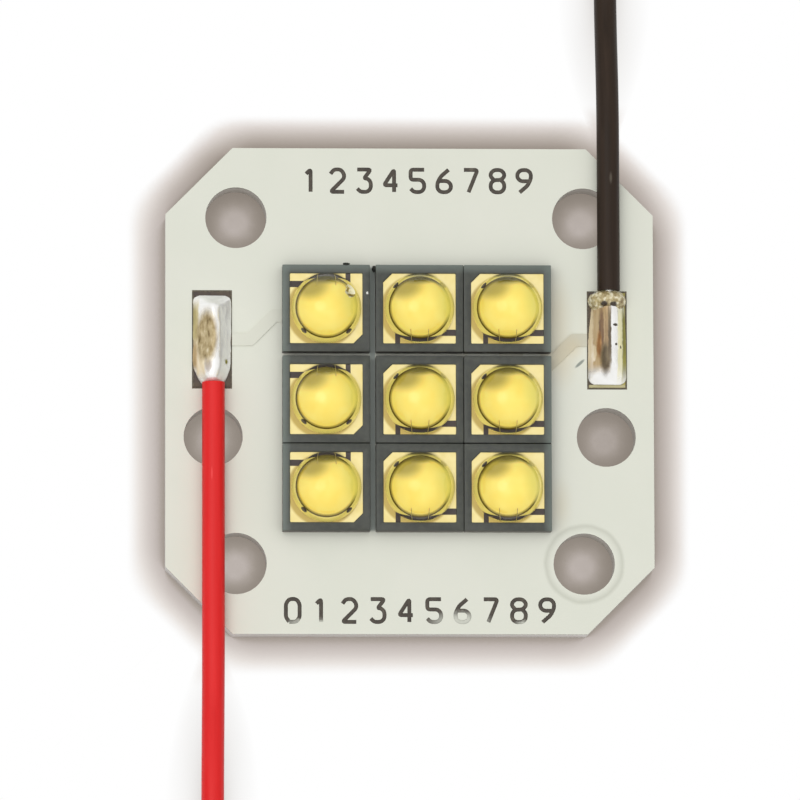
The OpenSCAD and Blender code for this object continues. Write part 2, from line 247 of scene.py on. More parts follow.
def mottle(tree, shader, place, size_mm, stops, detail=3):
    """Colours the shader with soft patches of one size, and returns the pattern and its colour."""
    noise = add_node(tree, "ShaderNodeTexNoise", {"Scale": per_size(size_mm), "Detail": detail},
                     {"Vector": place})
    ramp = add_node(tree, "ShaderNodeValToRGB", {"stops": stops}, {"Fac": noise.outputs["Fac"]})
    tree.links.new(ramp.outputs["Color"], shader.inputs["Base Color"])
    return noise.outputs["Fac"], ramp.outputs["Color"]


def vary_roughness(tree, shader, source, low, high):
    """Lets a pattern swing the roughness between two values."""
    spread = add_node(tree, "ShaderNodeMapRange",
                      {"From Min": PATTERN_LOW, "From Max": PATTERN_HIGH, "To Min": low, "To Max": high},
                      {"Value": source})
    tree.links.new(spread.outputs["Result"], shader.inputs["Roughness"])


def tint(tree, base, share, over):
    """Mixes a colour, or the output of a node, over base where share is high."""
    mix = add_node(tree, "ShaderNodeMix", {"data_type": "RGBA"}, {0: share, 6: base})
    if isinstance(over, str):
        mix.inputs[7].default_value = colour(over)
    else:
        tree.links.new(over, mix.inputs[7])
    return mix.outputs[2]


def dress(finish, *names):
    """Gives CAD nodes a finish."""
    for name in names:
        nodes[name].material_slots[0].material = finish


print("helpers ready")

# %% [markdown]
# ## Board
# The base is rolled aluminium sheet: a grey metal with fine lines along the rolling direction. On it lie
# an epoxy layer filled with ceramic, brown at the cut edge, and the copper. Where copper shows beside a
# solder joint it is dark with burnt flux, and on the right pad olive along the outer rim and pale along the
# lower one. The rims are found by their place on the board, so the CAD solid needs no separate faces.

# %% Board finishes: aluminium, epoxy and copper
ROLLED_OUT = (0.04, 1, 1)
OUTER_RIM = 9.38 * MM
LOWER_RIM = 0.25 * MM
RIM_FADE = 0.04 * MM


def rolled_aluminium():
    """Sheet straight from the mill: a soft sheen with fine lines along X."""
    finish, tree, shader, place = new_finish("rolled aluminium sheet", Metallic=1, Roughness=0.38)
    rolled = add_node(tree, "ShaderNodeMapping", {"Scale": ROLLED_OUT}, {"Vector": place}).outputs["Vector"]
    lines, _ = mottle(tree, shader, rolled, 0.12, [(0.3, "#d2d3d2"), (0.7, "#e8e8e5")], 6)
    vary_roughness(tree, shader, lines, 0.4, 0.55)
    bump(tree, shader, lines, 0.004)
    return finish


def filled_epoxy():
    """Cured epoxy with ceramic grains: a matt brown edge with paler specks."""
    finish, tree, shader, place = new_finish("ceramic filled epoxy", Roughness=0.6)
    mottle(tree, shader, place, 0.06, [(0.35, "#4d463a"), (0.6, "#6b614f"), (0.75, "#8a7f68")], 4)
    return finish


def fluxed_copper():
    """Etched copper, browned by soldering: mostly dark, with olive and pale rims."""
    finish, tree, shader, place = new_finish("copper darkened by flux", Metallic=0.6, Roughness=0.4)
    burnt, shade = mottle(tree, shader, place, 0.5,
                          [(0.35, "#423a36"), (0.6, "#5d5143"), (0.75, "#8d8148")], 5)
    spot = add_node(tree, "ShaderNodeSeparateXYZ", links={"Vector": place})
    outer_rim = add_node(tree, "ShaderNodeMapRange",
                         {"From Min": OUTER_RIM - RIM_FADE, "From Max": OUTER_RIM},
                         {"Value": spot.outputs["X"]})
    shade = tint(tree, shade, outer_rim.outputs["Result"], "#948b4e")
    right_pad = add_node(tree, "ShaderNodeMath", {"operation": "GREATER_THAN", 1: 0}, {0: spot.outputs["X"]})
    lower_rim = add_node(tree, "ShaderNodeMapRange",
                         {"From Min": LOWER_RIM + RIM_FADE, "From Max": LOWER_RIM},
                         {"Value": spot.outputs["Y"], "To Max": right_pad.outputs["Value"]})
    shade = tint(tree, shade, lower_rim.outputs["Result"], "#a59e78")
    tree.links.new(shade, shader.inputs["Base Color"])
    vary_roughness(tree, shader, burnt, 0.3, 0.6)
    return finish


dress(rolled_aluminium(), "base_plate")
dress(filled_epoxy(), "dielectric_layer")
dress(fluxed_copper(), "copper_tracks")
print("board finishes on base, epoxy and copper")

# %% [markdown]
# ## White solder mask
# The mask is a cured white ink, screened on and slightly glossy. It is a little greener than paper, with
# faint cloudiness and an orange peel surface. It goes grey where it runs up over copper, and painted shade
# darkens it in the gap behind the first column of emitters. A washer has left a ring at the lower right
# hole, a faint tan haze lies beside the block, and there is a short dark nick by the right pad. Such marks
# are patches: the distance from a place on the board, stretched and turned, fades a colour in. No picture
# is needed.

# %% Mask finish
RING_HOLE = (7.65, -7.65)
RING_SIZE = (2.1, 2.1)
NICK_PLACE = (7.5, 1.22)
NICK_ANGLE = math.radians(42)
NICK_SIZE = (0.34, 0.085)
GREYEST_X = 6 * MM
STEP_FOOT = mask_high.z - 0.05 * MM
STEP_TOP = mask_high.z - 0.01 * MM
GAP_BEYOND = Vector((0, 0.1))
HAZE = (((6.5, 3.4), (0.9, 2.4), 0.4), ((6.7, 1.4), (0.9, 1.8), 0.4), ((7.25, 1.95), (0.6, 0.75), 0.4),
        ((6.6, -5.0), (0.7, 1.6), 0.3))
gap_low = Vector((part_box("led_4_body")[1].x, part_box("led_7_body")[0].y)) / MM
gap_high = Vector((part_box("led_5_body")[0].x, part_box("led_1_body")[1].y)) / MM + GAP_BEYOND


def around(tree, place, where, size, angle=0, square=False):
    """Distance from a point of the board, in units of size in millimetres along the turned axes."""
    moved = add_node(tree, "ShaderNodeMapping",
                     {"vector_type": "TEXTURE", "Location": (where[0] * MM, where[1] * MM, 0),
                      "Rotation": (0, 0, angle), "Scale": (size[0] * MM, size[1] * MM, 1)},
                     {"Vector": place})
    flat = add_node(tree, "ShaderNodeVectorMath", {"operation": "MULTIPLY", 1: (1, 1, 0)},
                    {0: moved.outputs["Vector"]})
    if not square:
        return add_node(tree, "ShaderNodeVectorMath", {"operation": "LENGTH"},
                        {0: flat.outputs["Vector"]}).outputs["Value"]
    folded = add_node(tree, "ShaderNodeVectorMath", {"operation": "ABSOLUTE"}, {0: flat.outputs["Vector"]})
    sides = add_node(tree, "ShaderNodeSeparateXYZ", links={"Vector": folded.outputs["Vector"]})
    return add_node(tree, "ShaderNodeMath", {"operation": "MAXIMUM"},
                    {0: sides.outputs["X"], 1: sides.outputs["Y"]}).outputs["Value"]


def ragged(tree, place, size_mm, reach_mm):
    """Shifts places about a little, so that edges drawn there come out ragged."""
    noise = add_node(tree, "ShaderNodeTexNoise", {"Scale": per_size(size_mm), "Detail": 3},
                     {"Vector": place})
    middle = add_node(tree, "ShaderNodeVectorMath", {"operation": "SUBTRACT", 1: (0.5, 0.5, 0.5)},
                      {0: noise.outputs["Color"]})
    reach = add_node(tree, "ShaderNodeVectorMath", {"operation": "SCALE", "Scale": 2 * reach_mm * MM},
                     {0: middle.outputs["Vector"]})
    return add_node(tree, "ShaderNodeVectorMath", {"operation": "ADD"},
                    {0: place, 1: reach.outputs["Vector"]}).outputs["Vector"]


def patch(tree, distance, strength=1, solid=0.5):
    """How strongly a patch covers: full out to solid, then fading to nothing at distance 1."""
    fade = add_node(tree, "ShaderNodeMapRange",
                    {"interpolation_type": "SMOOTHSTEP", "From Min": 1, "From Max": solid,
                     "To Max": strength},
                    {"Value": distance})
    return fade.outputs["Result"]


def stain(tree, place, base, over, where, size, strength=1, solid=0.5, angle=0, square=False):
    """Tints base in an oval or a box about a point of the board, in millimetres."""
    distance = around(tree, place, where, size, angle, square)
    return tint(tree, base, patch(tree, distance, strength, solid), over)


def white_mask():
    """Cured white ink: pale, faintly clouded, with a soft gloss."""
    finish, tree, shader, place = new_finish("white solder mask ink", Roughness=0.42)
    cloud, shade = mottle(tree, shader, place, 2.5, [(0.3, "#dadcce"), (0.7, "#dedfd2")], 4)
    spot = add_node(tree, "ShaderNodeSeparateXYZ", links={"Vector": place})
    greyness = add_node(tree, "ShaderNodeMapRange", {"From Max": GREYEST_X, "To Min": 0.15, "To Max": 0.7},
                        {"Value": spot.outputs["X"]})
    over_copper = add_node(tree, "ShaderNodeMapRange", {"From Min": STEP_FOOT, "From Max": STEP_TOP},
                           {"Value": spot.outputs["Z"], "To Max": greyness.outputs["Result"]})
    shade = tint(tree, shade, over_copper.outputs["Result"], "#bcb8a3")
    # Painted shade: the mask in the narrow gap behind the first column is darkened, as shade falls there.
    shade = stain(tree, place, shade, "#a8b1a9", (gap_low + gap_high) / 2, (gap_high - gap_low) / 2,
                  solid=0.97, square=True)
    # A faint tan haze beside the right of the block.
    for where, size, strength in HAZE:
        shade = stain(tree, place, shade, "#cfc09c", where, size, strength, 0)
    ring = add_node(tree, "ShaderNodeValToRGB",
                    {"stops": [(0.66, "#000000"), (0.72, "#585858"), (0.8, "#a4a4a4"), (0.87, "#000000")]},
                    {"Fac": around(tree, ragged(tree, place, 0.9, 0.08), RING_HOLE, RING_SIZE)})
    shade = tint(tree, shade, ring.outputs["Color"], "#9fa190")
    shade = stain(tree, place, shade, "#8b9188", NICK_PLACE, NICK_SIZE, angle=NICK_ANGLE)
    tree.links.new(shade, shader.inputs["Base Color"])
    vary_roughness(tree, shader, cloud, 0.36, 0.48)
    peel = add_node(tree, "ShaderNodeTexNoise", {"Scale": per_size(0.3), "Detail": 2}, {"Vector": place})
    bump(tree, shader, peel.outputs["Fac"], 0.003)
    return finish


dress(white_mask(), "solder_mask")
print("mask finish on solder_mask")

# %% [markdown]
# ## Printed numbers
# The board has two rows of print in a plain stick lettering, here the numbers of the nine emitters and a
# row of figures. Each figure is a pen line in a box 0.6 wide and 1 high. A curve follows the line with its
# corners rounded off, so that the stroke keeps its width there. Its bevel is the stroke, and the whole is
# pressed flat until only a film of ink stands on the mask. The lower row is worn along its foot.

# %% Strokes of the figures
FIGURES = {
    "0": [(0.15, 0), (0.45, 0), (0.6, 0.2), (0.6, 0.8), (0.45, 1), (0.15, 1), (0, 0.8), (0, 0.2), (0.15, 0)],
    "1": [(0.1, 0.8), (0.3, 1), (0.3, 0)],
    "2": [(0, 0.8), (0.15, 1), (0.45, 1), (0.6, 0.8), (0.6, 0.6), (0, 0), (0.6, 0)],
    "3": [(0, 1), (0.6, 1), (0.3, 0.6), (0.45, 0.6), (0.6, 0.45), (0.6, 0.15), (0.45, 0), (0.15, 0),
          (0, 0.15)],
    "4": [(0.45, 0), (0.45, 1), (0, 0.3), (0.6, 0.3)],
    "5": [(0.6, 1), (0, 1), (0, 0.55), (0.45, 0.55), (0.6, 0.4), (0.6, 0.15), (0.45, 0), (0.15, 0),
          (0, 0.15)],
    "6": [(0.5, 1), (0.15, 0.7), (0, 0.4), (0, 0.15), (0.15, 0), (0.45, 0), (0.6, 0.15), (0.6, 0.35),
          (0.45, 0.5), (0.05, 0.5)],
    "7": [(0, 1), (0.6, 1), (0.2, 0)],
    "8": [(0.15, 0.55), (0, 0.7), (0, 0.85), (0.15, 1), (0.45, 1), (0.6, 0.85), (0.6, 0.7), (0.45, 0.55),
          (0.15, 0.55), (0, 0.4), (0, 0.15), (0.15, 0), (0.45, 0), (0.6, 0.15), (0.6, 0.4), (0.45, 0.55)],
    "9": [(0.1, 0), (0.45, 0.3), (0.6, 0.6), (0.6, 0.85), (0.45, 1), (0.15, 1), (0, 0.85), (0, 0.65),
          (0.15, 0.5), (0.55, 0.5)],
}
FIGURE_WIDTH = 0.6
PEN_TURN = 0.12
TURN_LIMIT = 0.45
PEN_STEPS = 4
STROKE_WIDTH = 0.175 * MM
STROKE_ROUNDNESS = 2
INK_SHARE = 0.12
TRACK_RISE = 0.07 * MM
film_top = mask_high.z - TRACK_RISE


def pen_line(corners):
    """The points of a figure with each corner rounded off."""
    points = [Vector(corner) for corner in corners]
    line = [points[0]]
    for before, corner, after in zip(points, points[1:], points[2:]):
        back_in = (before - corner) * min(TURN_LIMIT, PEN_TURN / (before - corner).length)
        on_out = (after - corner) * min(TURN_LIMIT, PEN_TURN / (after - corner).length)
        for step in range(PEN_STEPS + 1):
            share = step / PEN_STEPS
            line.append(corner + back_in * (1 - share) ** 2 + on_out * share ** 2)
    return line + [points[-1]]


def add_line(curve, points):
    """Adds a line of straight steps to a curve."""
    spline = curve.splines.new("POLY")
    spline.points.add(len(points) - 1)
    for point, place in zip(spline.points, points):
        point.co = (*place, 1)


def printed_row(name, figures, left, right, low, high):
    """A row of figures between two places across X and two along Y, in millimetres."""
    curve = round_line(name, STROKE_WIDTH / 2, STROKE_ROUNDNESS)
    tall = (high - low) * MM - STROKE_WIDTH
    pitch = ((right - left) * MM - STROKE_WIDTH - FIGURE_WIDTH * tall) / (len(figures) - 1)
    for place, figure in enumerate(figures):
        add_line(curve, [(place * pitch + x * tall, y * tall, 0) for x, y in pen_line(FIGURES[figure])])
    row = put_in_scene(name, curve)
    bpy.ops.object.convert(target="MESH")
    row.scale.z = INK_SHARE
    row.location = (left * MM + STROKE_WIDTH / 2, low * MM + STROKE_WIDTH / 2, film_top)
    bpy.ops.object.transform_apply(location=True, rotation=True, scale=True)
    return row


top_row = printed_row("upper_numbers", "123456789", -4.74, 5.46, 8.73, 9.9)
low_row = printed_row("lower_numbers", "0123456789", -5.55, 6.4, -10.3, -9.12)
print("printed rows:", len(top_row.data.polygons), "and", len(low_row.data.polygons), "faces")

# %% Ink finish
WORN_PLACES = (((2.2, -10.2), (1.7, 0.6)), ((-4.3, -10.28), (1.5, 0.3)), ((5.2, -10.3), (0.8, 0.22)))


def screen_ink(name, worn_places=()):
    """Screened black ink on white mask: brown black, thinner in places and worn through in others."""
    finish, tree, shader, place = new_finish(name, Roughness=0.55)
    _, shade = mottle(tree, shader, place, 0.25, [(0.3, "#332b22"), (0.6, "#443c31"), (0.8, "#625b4d")], 4)
    torn = ragged(tree, place, 0.12, 0.12)
    for where, size in worn_places:
        shade = stain(tree, torn, shade, "#dadccf", where, size, 0.8, 0.2)
    tree.links.new(shade, shader.inputs["Base Color"])
    return finish


for row, worn_places in ((top_row, ()), (low_row, WORN_PLACES)):
    row.data.materials.append(screen_ink(f"screened black ink, {row.name}", worn_places))
    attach(row, "root")
print("ink on two rows")

# %% [markdown]
# ## Emitter bodies
# Each body is black epoxy moulding compound, which looks slate grey under studio light, moulded round a
# gold plated lead frame. A cube is given a window by insetting its top face and pushing it down to the
# lead frame. One corner of the window is cut off, which marks the polarity, and every edge gets the small
# radius that a mould leaves. The body is modelled once about the origin, then copied to all nine places,
# and the left column is turned half a turn. Painted light makes the block paler along its left, right and
# upper edges. In the other two columns the lock hole at the upper right is painted over in yellow, a
# painted reflection that hides it.

# %% Places of the emitters
EMITTERS = [f"led_{i}" for i in range(1, 10)]
LEFT_COLUMN = EMITTERS[::3]
body_low, body_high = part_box("led_5_body")
frame_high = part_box("led_5_leadframe")[1]
lens_low, lens_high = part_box("led_5_lens")
LENS_RADIUS = (lens_high.x - lens_low.x) / 2
BODY_SIDE = body_high.x - body_low.x
BODY_HEIGHT = body_high.z - body_low.z
WINDOW_SIZE = (3.2 * MM, 3.1 * MM)
WINDOW_NOTCH = 0.4 * MM
SINK = 0.012 * MM
window_floor = frame_high.z - body_low.z - SINK


def emitter_matrix(emitter):
    """Moves a piece modelled about the origin to an emitter, turned in the left column."""
    low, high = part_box(f"{emitter}_body")
    middle = (low + high) / 2
    angle = math.pi if emitter in LEFT_COLUMN else 0
    return Matrix.Translation((middle.x, middle.y, low.z)) @ Matrix.Rotation(angle, 4, "Z")


def emitter_spot(emitter, offset=(0, 0)):
    """A point of the board at an offset from the middle of an emitter, in millimetres."""
    low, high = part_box(f"{emitter}_body")
    return (low.x + high.x) / 2 / MM + offset[0], (low.y + high.y) / 2 / MM + offset[1]


def pick(thing, kind, wanted):
    """Edit mode of the active object, with the faces or edges selected that pass a test."""
    bpy.ops.object.mode_set(mode="EDIT")
    bpy.ops.mesh.select_mode(type=kind)
    bpy.ops.mesh.select_all(action="DESELECT")
    bpy.ops.object.mode_set(mode="OBJECT")
    for item in thing.data.polygons if kind == "FACE" else thing.data.edges:
        item.select = wanted(item)
    bpy.ops.object.mode_set(mode="EDIT")


def modify(thing, kind, **settings):
    """Adds a modifier with these settings to the active object and applies it."""
    modifier = thing.modifiers.new(kind.lower(), kind)
    for setting, value in settings.items():
        setattr(modifier, setting, value)
    bpy.ops.object.modifier_apply(modifier=modifier.name)


def edge_ends(mesh, edge):
    """The two ends of an edge."""
    return [mesh.vertices[v].co for v in edge.vertices]


def place_copies(model, ending, replaced, finish):
    """Copies a model to the nine emitters, each copy with its own mesh, and removes the model."""
    made = []
    for emitter in EMITTERS:
        select_only(model)
        bpy.ops.object.duplicate(linked=False)
        piece = bpy.context.object
        piece.name = f"{emitter}_{ending}"
        piece.data.transform(emitter_matrix(emitter))
        piece.data.materials.clear()
        piece.data.materials.append(finish)
        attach(piece, "root")
        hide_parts(f"{emitter}_{replaced}")
        made.append(piece)
    bpy.data.objects.remove(model)
    print(ending, "made for", len(made), "emitters,", len(made[0].data.polygons), "faces each")
    return made


print("emitter body", round(BODY_SIDE / MM, 2), "mm square")

# %% Moulded body with its window
CORNER_RADIUS = 0.05 * MM
EDGE_RADIUS = 0.03 * MM
NEAR = 0.001 * MM
STRAIGHT_ALONG = 0.9
SHARP_ANGLE = math.radians(50)
SMOOTH_BELOW = math.radians(35)
bpy.ops.object.select_all(action="DESELECT")
bpy.ops.mesh.primitive_cube_add(size=1, location=(0, 0, BODY_HEIGHT / 2))
moulding = bpy.context.object
moulding.scale = (BODY_SIDE, BODY_SIDE, BODY_HEIGHT)
bpy.ops.object.transform_apply(location=True, rotation=True, scale=True)
pick(moulding, "FACE", lambda f: f.normal.z > STRAIGHT_ALONG)
side_rim = (BODY_SIDE - WINDOW_SIZE[0]) / 2
bpy.ops.mesh.inset(thickness=side_rim, depth=0)
bpy.ops.transform.resize(value=(1, WINDOW_SIZE[1] / WINDOW_SIZE[0], 1))
bpy.ops.mesh.extrude_region_move(TRANSFORM_OT_translate={"value": (0, 0, window_floor - BODY_HEIGHT)})
bpy.ops.object.mode_set(mode="OBJECT")


def window_corner(edge, notched):
    """True for an upright edge of the window at its notched corner, or at the other three."""
    a, b = edge_ends(moulding.data, edge)
    upright = abs(a.z - b.z) > NEAR and abs(a.x - b.x) < NEAR and abs(a.y - b.y) < NEAR
    inside = abs(a.x) < BODY_SIDE / 2 - NEAR
    return upright and inside and (a.x < 0 and a.y > 0) == notched


pick(moulding, "EDGE", lambda e: window_corner(e, True))
bpy.ops.mesh.bevel(offset=WINDOW_NOTCH, segments=1, affect="EDGES")
bpy.ops.object.mode_set(mode="OBJECT")
pick(moulding, "EDGE", lambda e: window_corner(e, False))
bpy.ops.mesh.bevel(offset=CORNER_RADIUS, segments=3, affect="EDGES")
bpy.ops.object.mode_set(mode="OBJECT")
modify(moulding, "BEVEL", width=EDGE_RADIUS, segments=2, limit_method="ANGLE", angle_limit=SHARP_ANGLE)
bpy.ops.object.shade_smooth_by_angle(angle=SMOOTH_BELOW)
print("moulding:", len(moulding.data.polygons), "faces")

# %% Moulding finish
PAINTED_LIGHT_RIM = 0.4 * MM
PAINTED_LIGHT_SHARE = 0.9
HOLE_REFLECTION_SPOT = (0.86, 0.88)
HOLE_REFLECTION_SIZE = (0.36, 0.36)
block_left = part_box("led_1_body")[0].x
block_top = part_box("led_1_body")[1].y
block_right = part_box("led_9_body")[1].x
PAINTED_LIGHT_EDGES = (("X", block_left, PAINTED_LIGHT_RIM), ("X", block_right, -PAINTED_LIGHT_RIM), ("Y", block_top, -PAINTED_LIGHT_RIM))


def epoxy_moulding():
    """Black moulding compound: slate grey, satin, with painted light along the block's left, right and upper
    edges.
    """
    finish, tree, shader, place = new_finish("epoxy moulding compound", Roughness=0.42)
    speck, shade = mottle(tree, shader, place, 0.3, [(0.3, "#2f322c"), (0.7, "#40433b")], 3)
    spot = add_node(tree, "ShaderNodeSeparateXYZ", links={"Vector": place})
    # Painted light: the block's left, right and upper edges are lightened, as light falls on them.
    for axis, edge, inward in PAINTED_LIGHT_EDGES:
        pale = add_node(tree, "ShaderNodeMapRange",
                        {"From Min": edge + inward, "From Max": edge, "To Max": PAINTED_LIGHT_SHARE},
                        {"Value": spot.outputs[axis]})
        shade = tint(tree, shade, pale.outputs["Result"], "#6a746d")
    deep = add_node(tree, "ShaderNodeMapRange",
                    {"From Min": frame_high.z + SINK, "From Max": frame_high.z - SINK},
                    {"Value": spot.outputs["Z"]})
    shade = tint(tree, shade, deep.outputs["Result"], "#3d322e")
    # Painted reflection: yellow over the upper right lock hole of the middle and right columns hides it.
    for emitter in EMITTERS:
        if emitter not in LEFT_COLUMN:
            hole = emitter_spot(emitter, HOLE_REFLECTION_SPOT)
            shade = stain(tree, place, shade, "#d9c86e", hole, HOLE_REFLECTION_SIZE, 1, 0.8)
    tree.links.new(shade, shader.inputs["Base Color"])
    vary_roughness(tree, shader, speck, 0.36, 0.5)
    bump(tree, shader, speck, 0.003)
    return finish


place_copies(moulding, "moulding", "body", epoxy_moulding())

# %% [markdown]
# ## Lead frames, chips and bond wires
# The lead frame is stamped copper with a thin gold flash over nickel, pale and a little rough. A brown
# crescent beside each lens is painted shade and reflection on the gold; under the lens the gold is painted
# a brighter yellow, as painted light, and at its upper edge a dark patch is painted shade. The bond wires
# are gold, coated where they leave the phosphor, and the chip is grey green semiconductor, hidden under
# its phosphor. The CAD solids are fine enough, so only their finish is made here.

# %% Gold, chip and joint finishes
CRESCENT_SHADE_MIDDLE = (-0.14, -0.12)
CRESCENT_SHADE_SIZE = (1.67, 1.67)
LENS_SIZE = (LENS_RADIUS / MM, LENS_RADIUS / MM)
GOLD_TOP_SHADE_MIDDLE = (0.05, 1.3)
GOLD_TOP_SHADE_SIZE = (0.85, 0.42)


def gold_flash(emitter):
    """Gold over nickel on stamped copper: pale, with a fine grain, and painted shade and light round the
    lens.
    """
    finish, tree, shader, place = new_finish(f"gold flash on copper, {emitter}", Metallic=1, Roughness=0.34)
    grain, shade = mottle(tree, shader, place, 0.8, [(0.3, "#c3b377"), (0.7, "#d1c490")], 2)
    # Painted shade and reflection: a brown crescent on the gold beside the lens.
    shade = stain(tree, place, shade, "#9a8342", emitter_spot(emitter, CRESCENT_SHADE_MIDDLE), CRESCENT_SHADE_SIZE, 0.8, 0.92)
    # Painted light: the gold under the lens is a brighter yellow.
    shade = stain(tree, place, shade, "#eedc74", emitter_spot(emitter), LENS_SIZE, 1, 0.93)
    # Painted shade: a dark patch at the lens's upper edge.
    shade = stain(tree, place, shade, "#454225", emitter_spot(emitter, GOLD_TOP_SHADE_MIDDLE), GOLD_TOP_SHADE_SIZE, 0.95, 0.5)
    tree.links.new(shade, shader.inputs["Base Color"])
    vary_roughness(tree, shader, grain, 0.3, 0.4)
    return finish


def gold_wire():
    """Drawn gold wire with a coat of phosphor: nearly as yellow and matt as the drop round it."""
    finish, tree, shader, place = new_finish("gold wire coated with phosphor", Metallic=0.3, Roughness=0.6)
    mottle(tree, shader, place, 0.1, [(0.3, "#b5a352"), (0.7, "#c8b663")], 2)
    return finish


def chip_crystal():
    """Nitride chip: a grey green crystal with a smooth face."""
    finish, tree, shader, place = new_finish("nitride chip", Roughness=0.2)
    mottle(tree, shader, place, 0.2, [(0.3, "#9aa08a"), (0.7, "#b9bd9e")], 2)
    return finish


def reflowed_solder():
    """Solder under the emitters: bright grey metal with a fine frost."""
    finish, tree, shader, place = new_finish("reflowed solder", Metallic=1, Roughness=0.3)
    frost, _ = mottle(tree, shader, place, 0.08, [(0.3, "#c2c2bd"), (0.7, "#dcdcd6")], 3)
    vary_roughness(tree, shader, frost, 0.22, 0.42)
    return finish


for emitter in EMITTERS:
    dress(gold_flash(emitter), f"{emitter}_leadframe")
dress(gold_wire(), "bond_wires")
dress(chip_crystal(), *[f"{e}_chip" for e in EMITTERS])
dress(reflowed_solder(), "led_solder_joints")
print("finishes on lead frames, bond wires, chips and joints")

# %% [markdown]
# ## Phosphor
# The phosphor is ceramic powder in silicone, a matt strong yellow drop over the chip. It turns the blue in
# the light to yellow, so it glows a little: a weak emission stands for that, painted light that glows under
# any lamp. Along its foot, where it meets the gold, it is a dark olive line below and to the left. Painted
# shade makes the drop olive towards the upper left and dark along its upper edge, and painted light keeps it
# yellowish green on the right. Soft patches on the CAD solid show all of that.

# %% Phosphor finish
EDGE_LINE = 0.12 * MM
DROP_SHADE_MIDDLE = (-0.5, 0.72)
DROP_SHADE_SIZE = (0.8, 0.62)
DROP_LIGHT_MIDDLE = (0.95, 0.25)
DROP_LIGHT_SIZE = (0.6, 0.95)
DROP_TOP_SHADE_MIDDLE = (0.05, 1.0)
DROP_TOP_SHADE_SIZE = (0.95, 0.3)
CORE = 0.3


def phosphor_silicone(emitter):
    """Yellow ceramic powder in silicone: matt and bright with a fine grain, a painted glow, and painted
    shade and light.
    """
    # Painted light: a weak emission makes the drop glow under any lamp.
    finish, tree, shader, place = new_finish(f"phosphor in silicone, {emitter}", Roughness=0.7,
                                             Specular_IOR_Level=0.1, Emission_Strength=0.22)
    grain, shade = mottle(tree, shader, place, 0.6, [(0.3, "#f5db60"), (0.7, "#f9e474")], 3)
    # Painted shade: olive towards the upper left of the drop.
    shade = stain(tree, place, shade, "#8a7a26", emitter_spot(emitter, DROP_SHADE_MIDDLE), DROP_SHADE_SIZE, 0.7, CORE)
    height = add_node(tree, "ShaderNodeSeparateXYZ", links={"Vector": place}).outputs["Z"]
    # Dark olive along the drop's foot, where it meets the gold.
    edge = add_node(tree, "ShaderNodeMapRange",
                    {"From Min": frame_high.z + EDGE_LINE, "From Max": frame_high.z + EDGE_LINE / 4},
                    {"Value": height})
    shade = tint(tree, shade, edge.outputs["Result"], "#57480f")
    # Painted light: the right of the drop is kept yellowish green, over the dark foot line.
    shade = stain(tree, place, shade, "#e6da66", emitter_spot(emitter, DROP_LIGHT_MIDDLE), DROP_LIGHT_SIZE, 0.85, CORE)
    # Painted shade: dark along the drop's upper edge.
    shade = stain(tree, place, shade, "#55502a", emitter_spot(emitter, DROP_TOP_SHADE_MIDDLE), DROP_TOP_SHADE_SIZE, 0.95, CORE)
    tree.links.new(shade, shader.inputs["Base Color"])
    tree.links.new(shade, shader.inputs["Emission Color"])
    bump(tree, shader, grain, 0.003)
    return finish


for emitter in EMITTERS:
    dress(phosphor_silicone(emitter), f"{emitter}_phosphor")
print("phosphor finish on", len(EMITTERS), "drops")

# %% [markdown]
# ## Dome lenses
# The lens is clear silicone moulded straight on to the lead frame, a half ball on a short neck. A ball is
# cut in half with bisect, the open rim is extruded down to the neck, and the bottom is filled. The neck
# goes a hair into the lead frame, so that no air shows between clear silicone and metal.

# %% Dome lens
NECK_SINK = 0.06 * MM
LENS_SEGMENTS = 96
LENS_RINGS = 64
lens_rim = lens_high.z - LENS_RADIUS - body_low.z
neck_bottom = lens_low.z - body_low.z - NECK_SINK
bpy.ops.object.select_all(action="DESELECT")
bpy.ops.mesh.primitive_uv_sphere_add(segments=LENS_SEGMENTS, ring_count=LENS_RINGS, radius=LENS_RADIUS,
                                     location=(0, 0, lens_rim))
dome = bpy.context.object
bpy.ops.object.transform_apply(location=True, rotation=True, scale=True)
bpy.ops.object.mode_set(mode="EDIT")
bpy.ops.mesh.select_all(action="SELECT")
bpy.ops.mesh.bisect(plane_co=(0, 0, lens_rim), plane_no=(0, 0, 1), clear_inner=True)
bpy.ops.mesh.select_mode(type="EDGE")
bpy.ops.mesh.select_all(action="DESELECT")
bpy.ops.mesh.select_non_manifold()
bpy.ops.mesh.extrude_region_move(TRANSFORM_OT_translate={"value": (0, 0, neck_bottom - lens_rim)})
bpy.ops.mesh.edge_face_add()
bpy.ops.mesh.select_all(action="SELECT")
bpy.ops.mesh.normals_make_consistent(inside=False)
bpy.ops.object.mode_set(mode="OBJECT")
bpy.ops.object.shade_smooth_by_angle(angle=SMOOTH_BELOW)
print("dome:", len(dome.data.polygons), "faces, radius", round(LENS_RADIUS / MM, 2), "mm")

# %% [markdown]
# The first emitter's lens is chipped at its upper right. A rough splinter of a ball, its corners pushed
# about by Randomize, is cut out of that dome with a Boolean modifier once the nine domes are placed. The cut
# faces take the splinter's own finish, torn silicone.

# %% Lens finish


def clear_silicone():
    """Optical silicone: clear, with the gloss of the polished mould."""
    finish, tree, shader, place = new_finish("clear optical silicone", Roughness=0.02, IOR=1.46,
                                             Transmission_Weight=1)
    haze, _ = mottle(tree, shader, place, 1.2, [(0.3, "#fefdf6"), (0.7, "#ffffff")], 2)
    vary_roughness(tree, shader, haze, 0.01, 0.03)
    return finish


def torn_silicone():
    """Silicone where it broke: a rough face that scatters, so it looks bright and whitish."""
    finish, tree, shader, place = new_finish("torn silicone", Roughness=0.25, IOR=1.46)
    tear, _ = mottle(tree, shader, place, 0.3, [(0.4, "#8f7c34"), (0.47, "#d8c878"), (0.54, "#fffbdc")], 3)
    bump(tree, shader, tear, 0.06)
    return finish


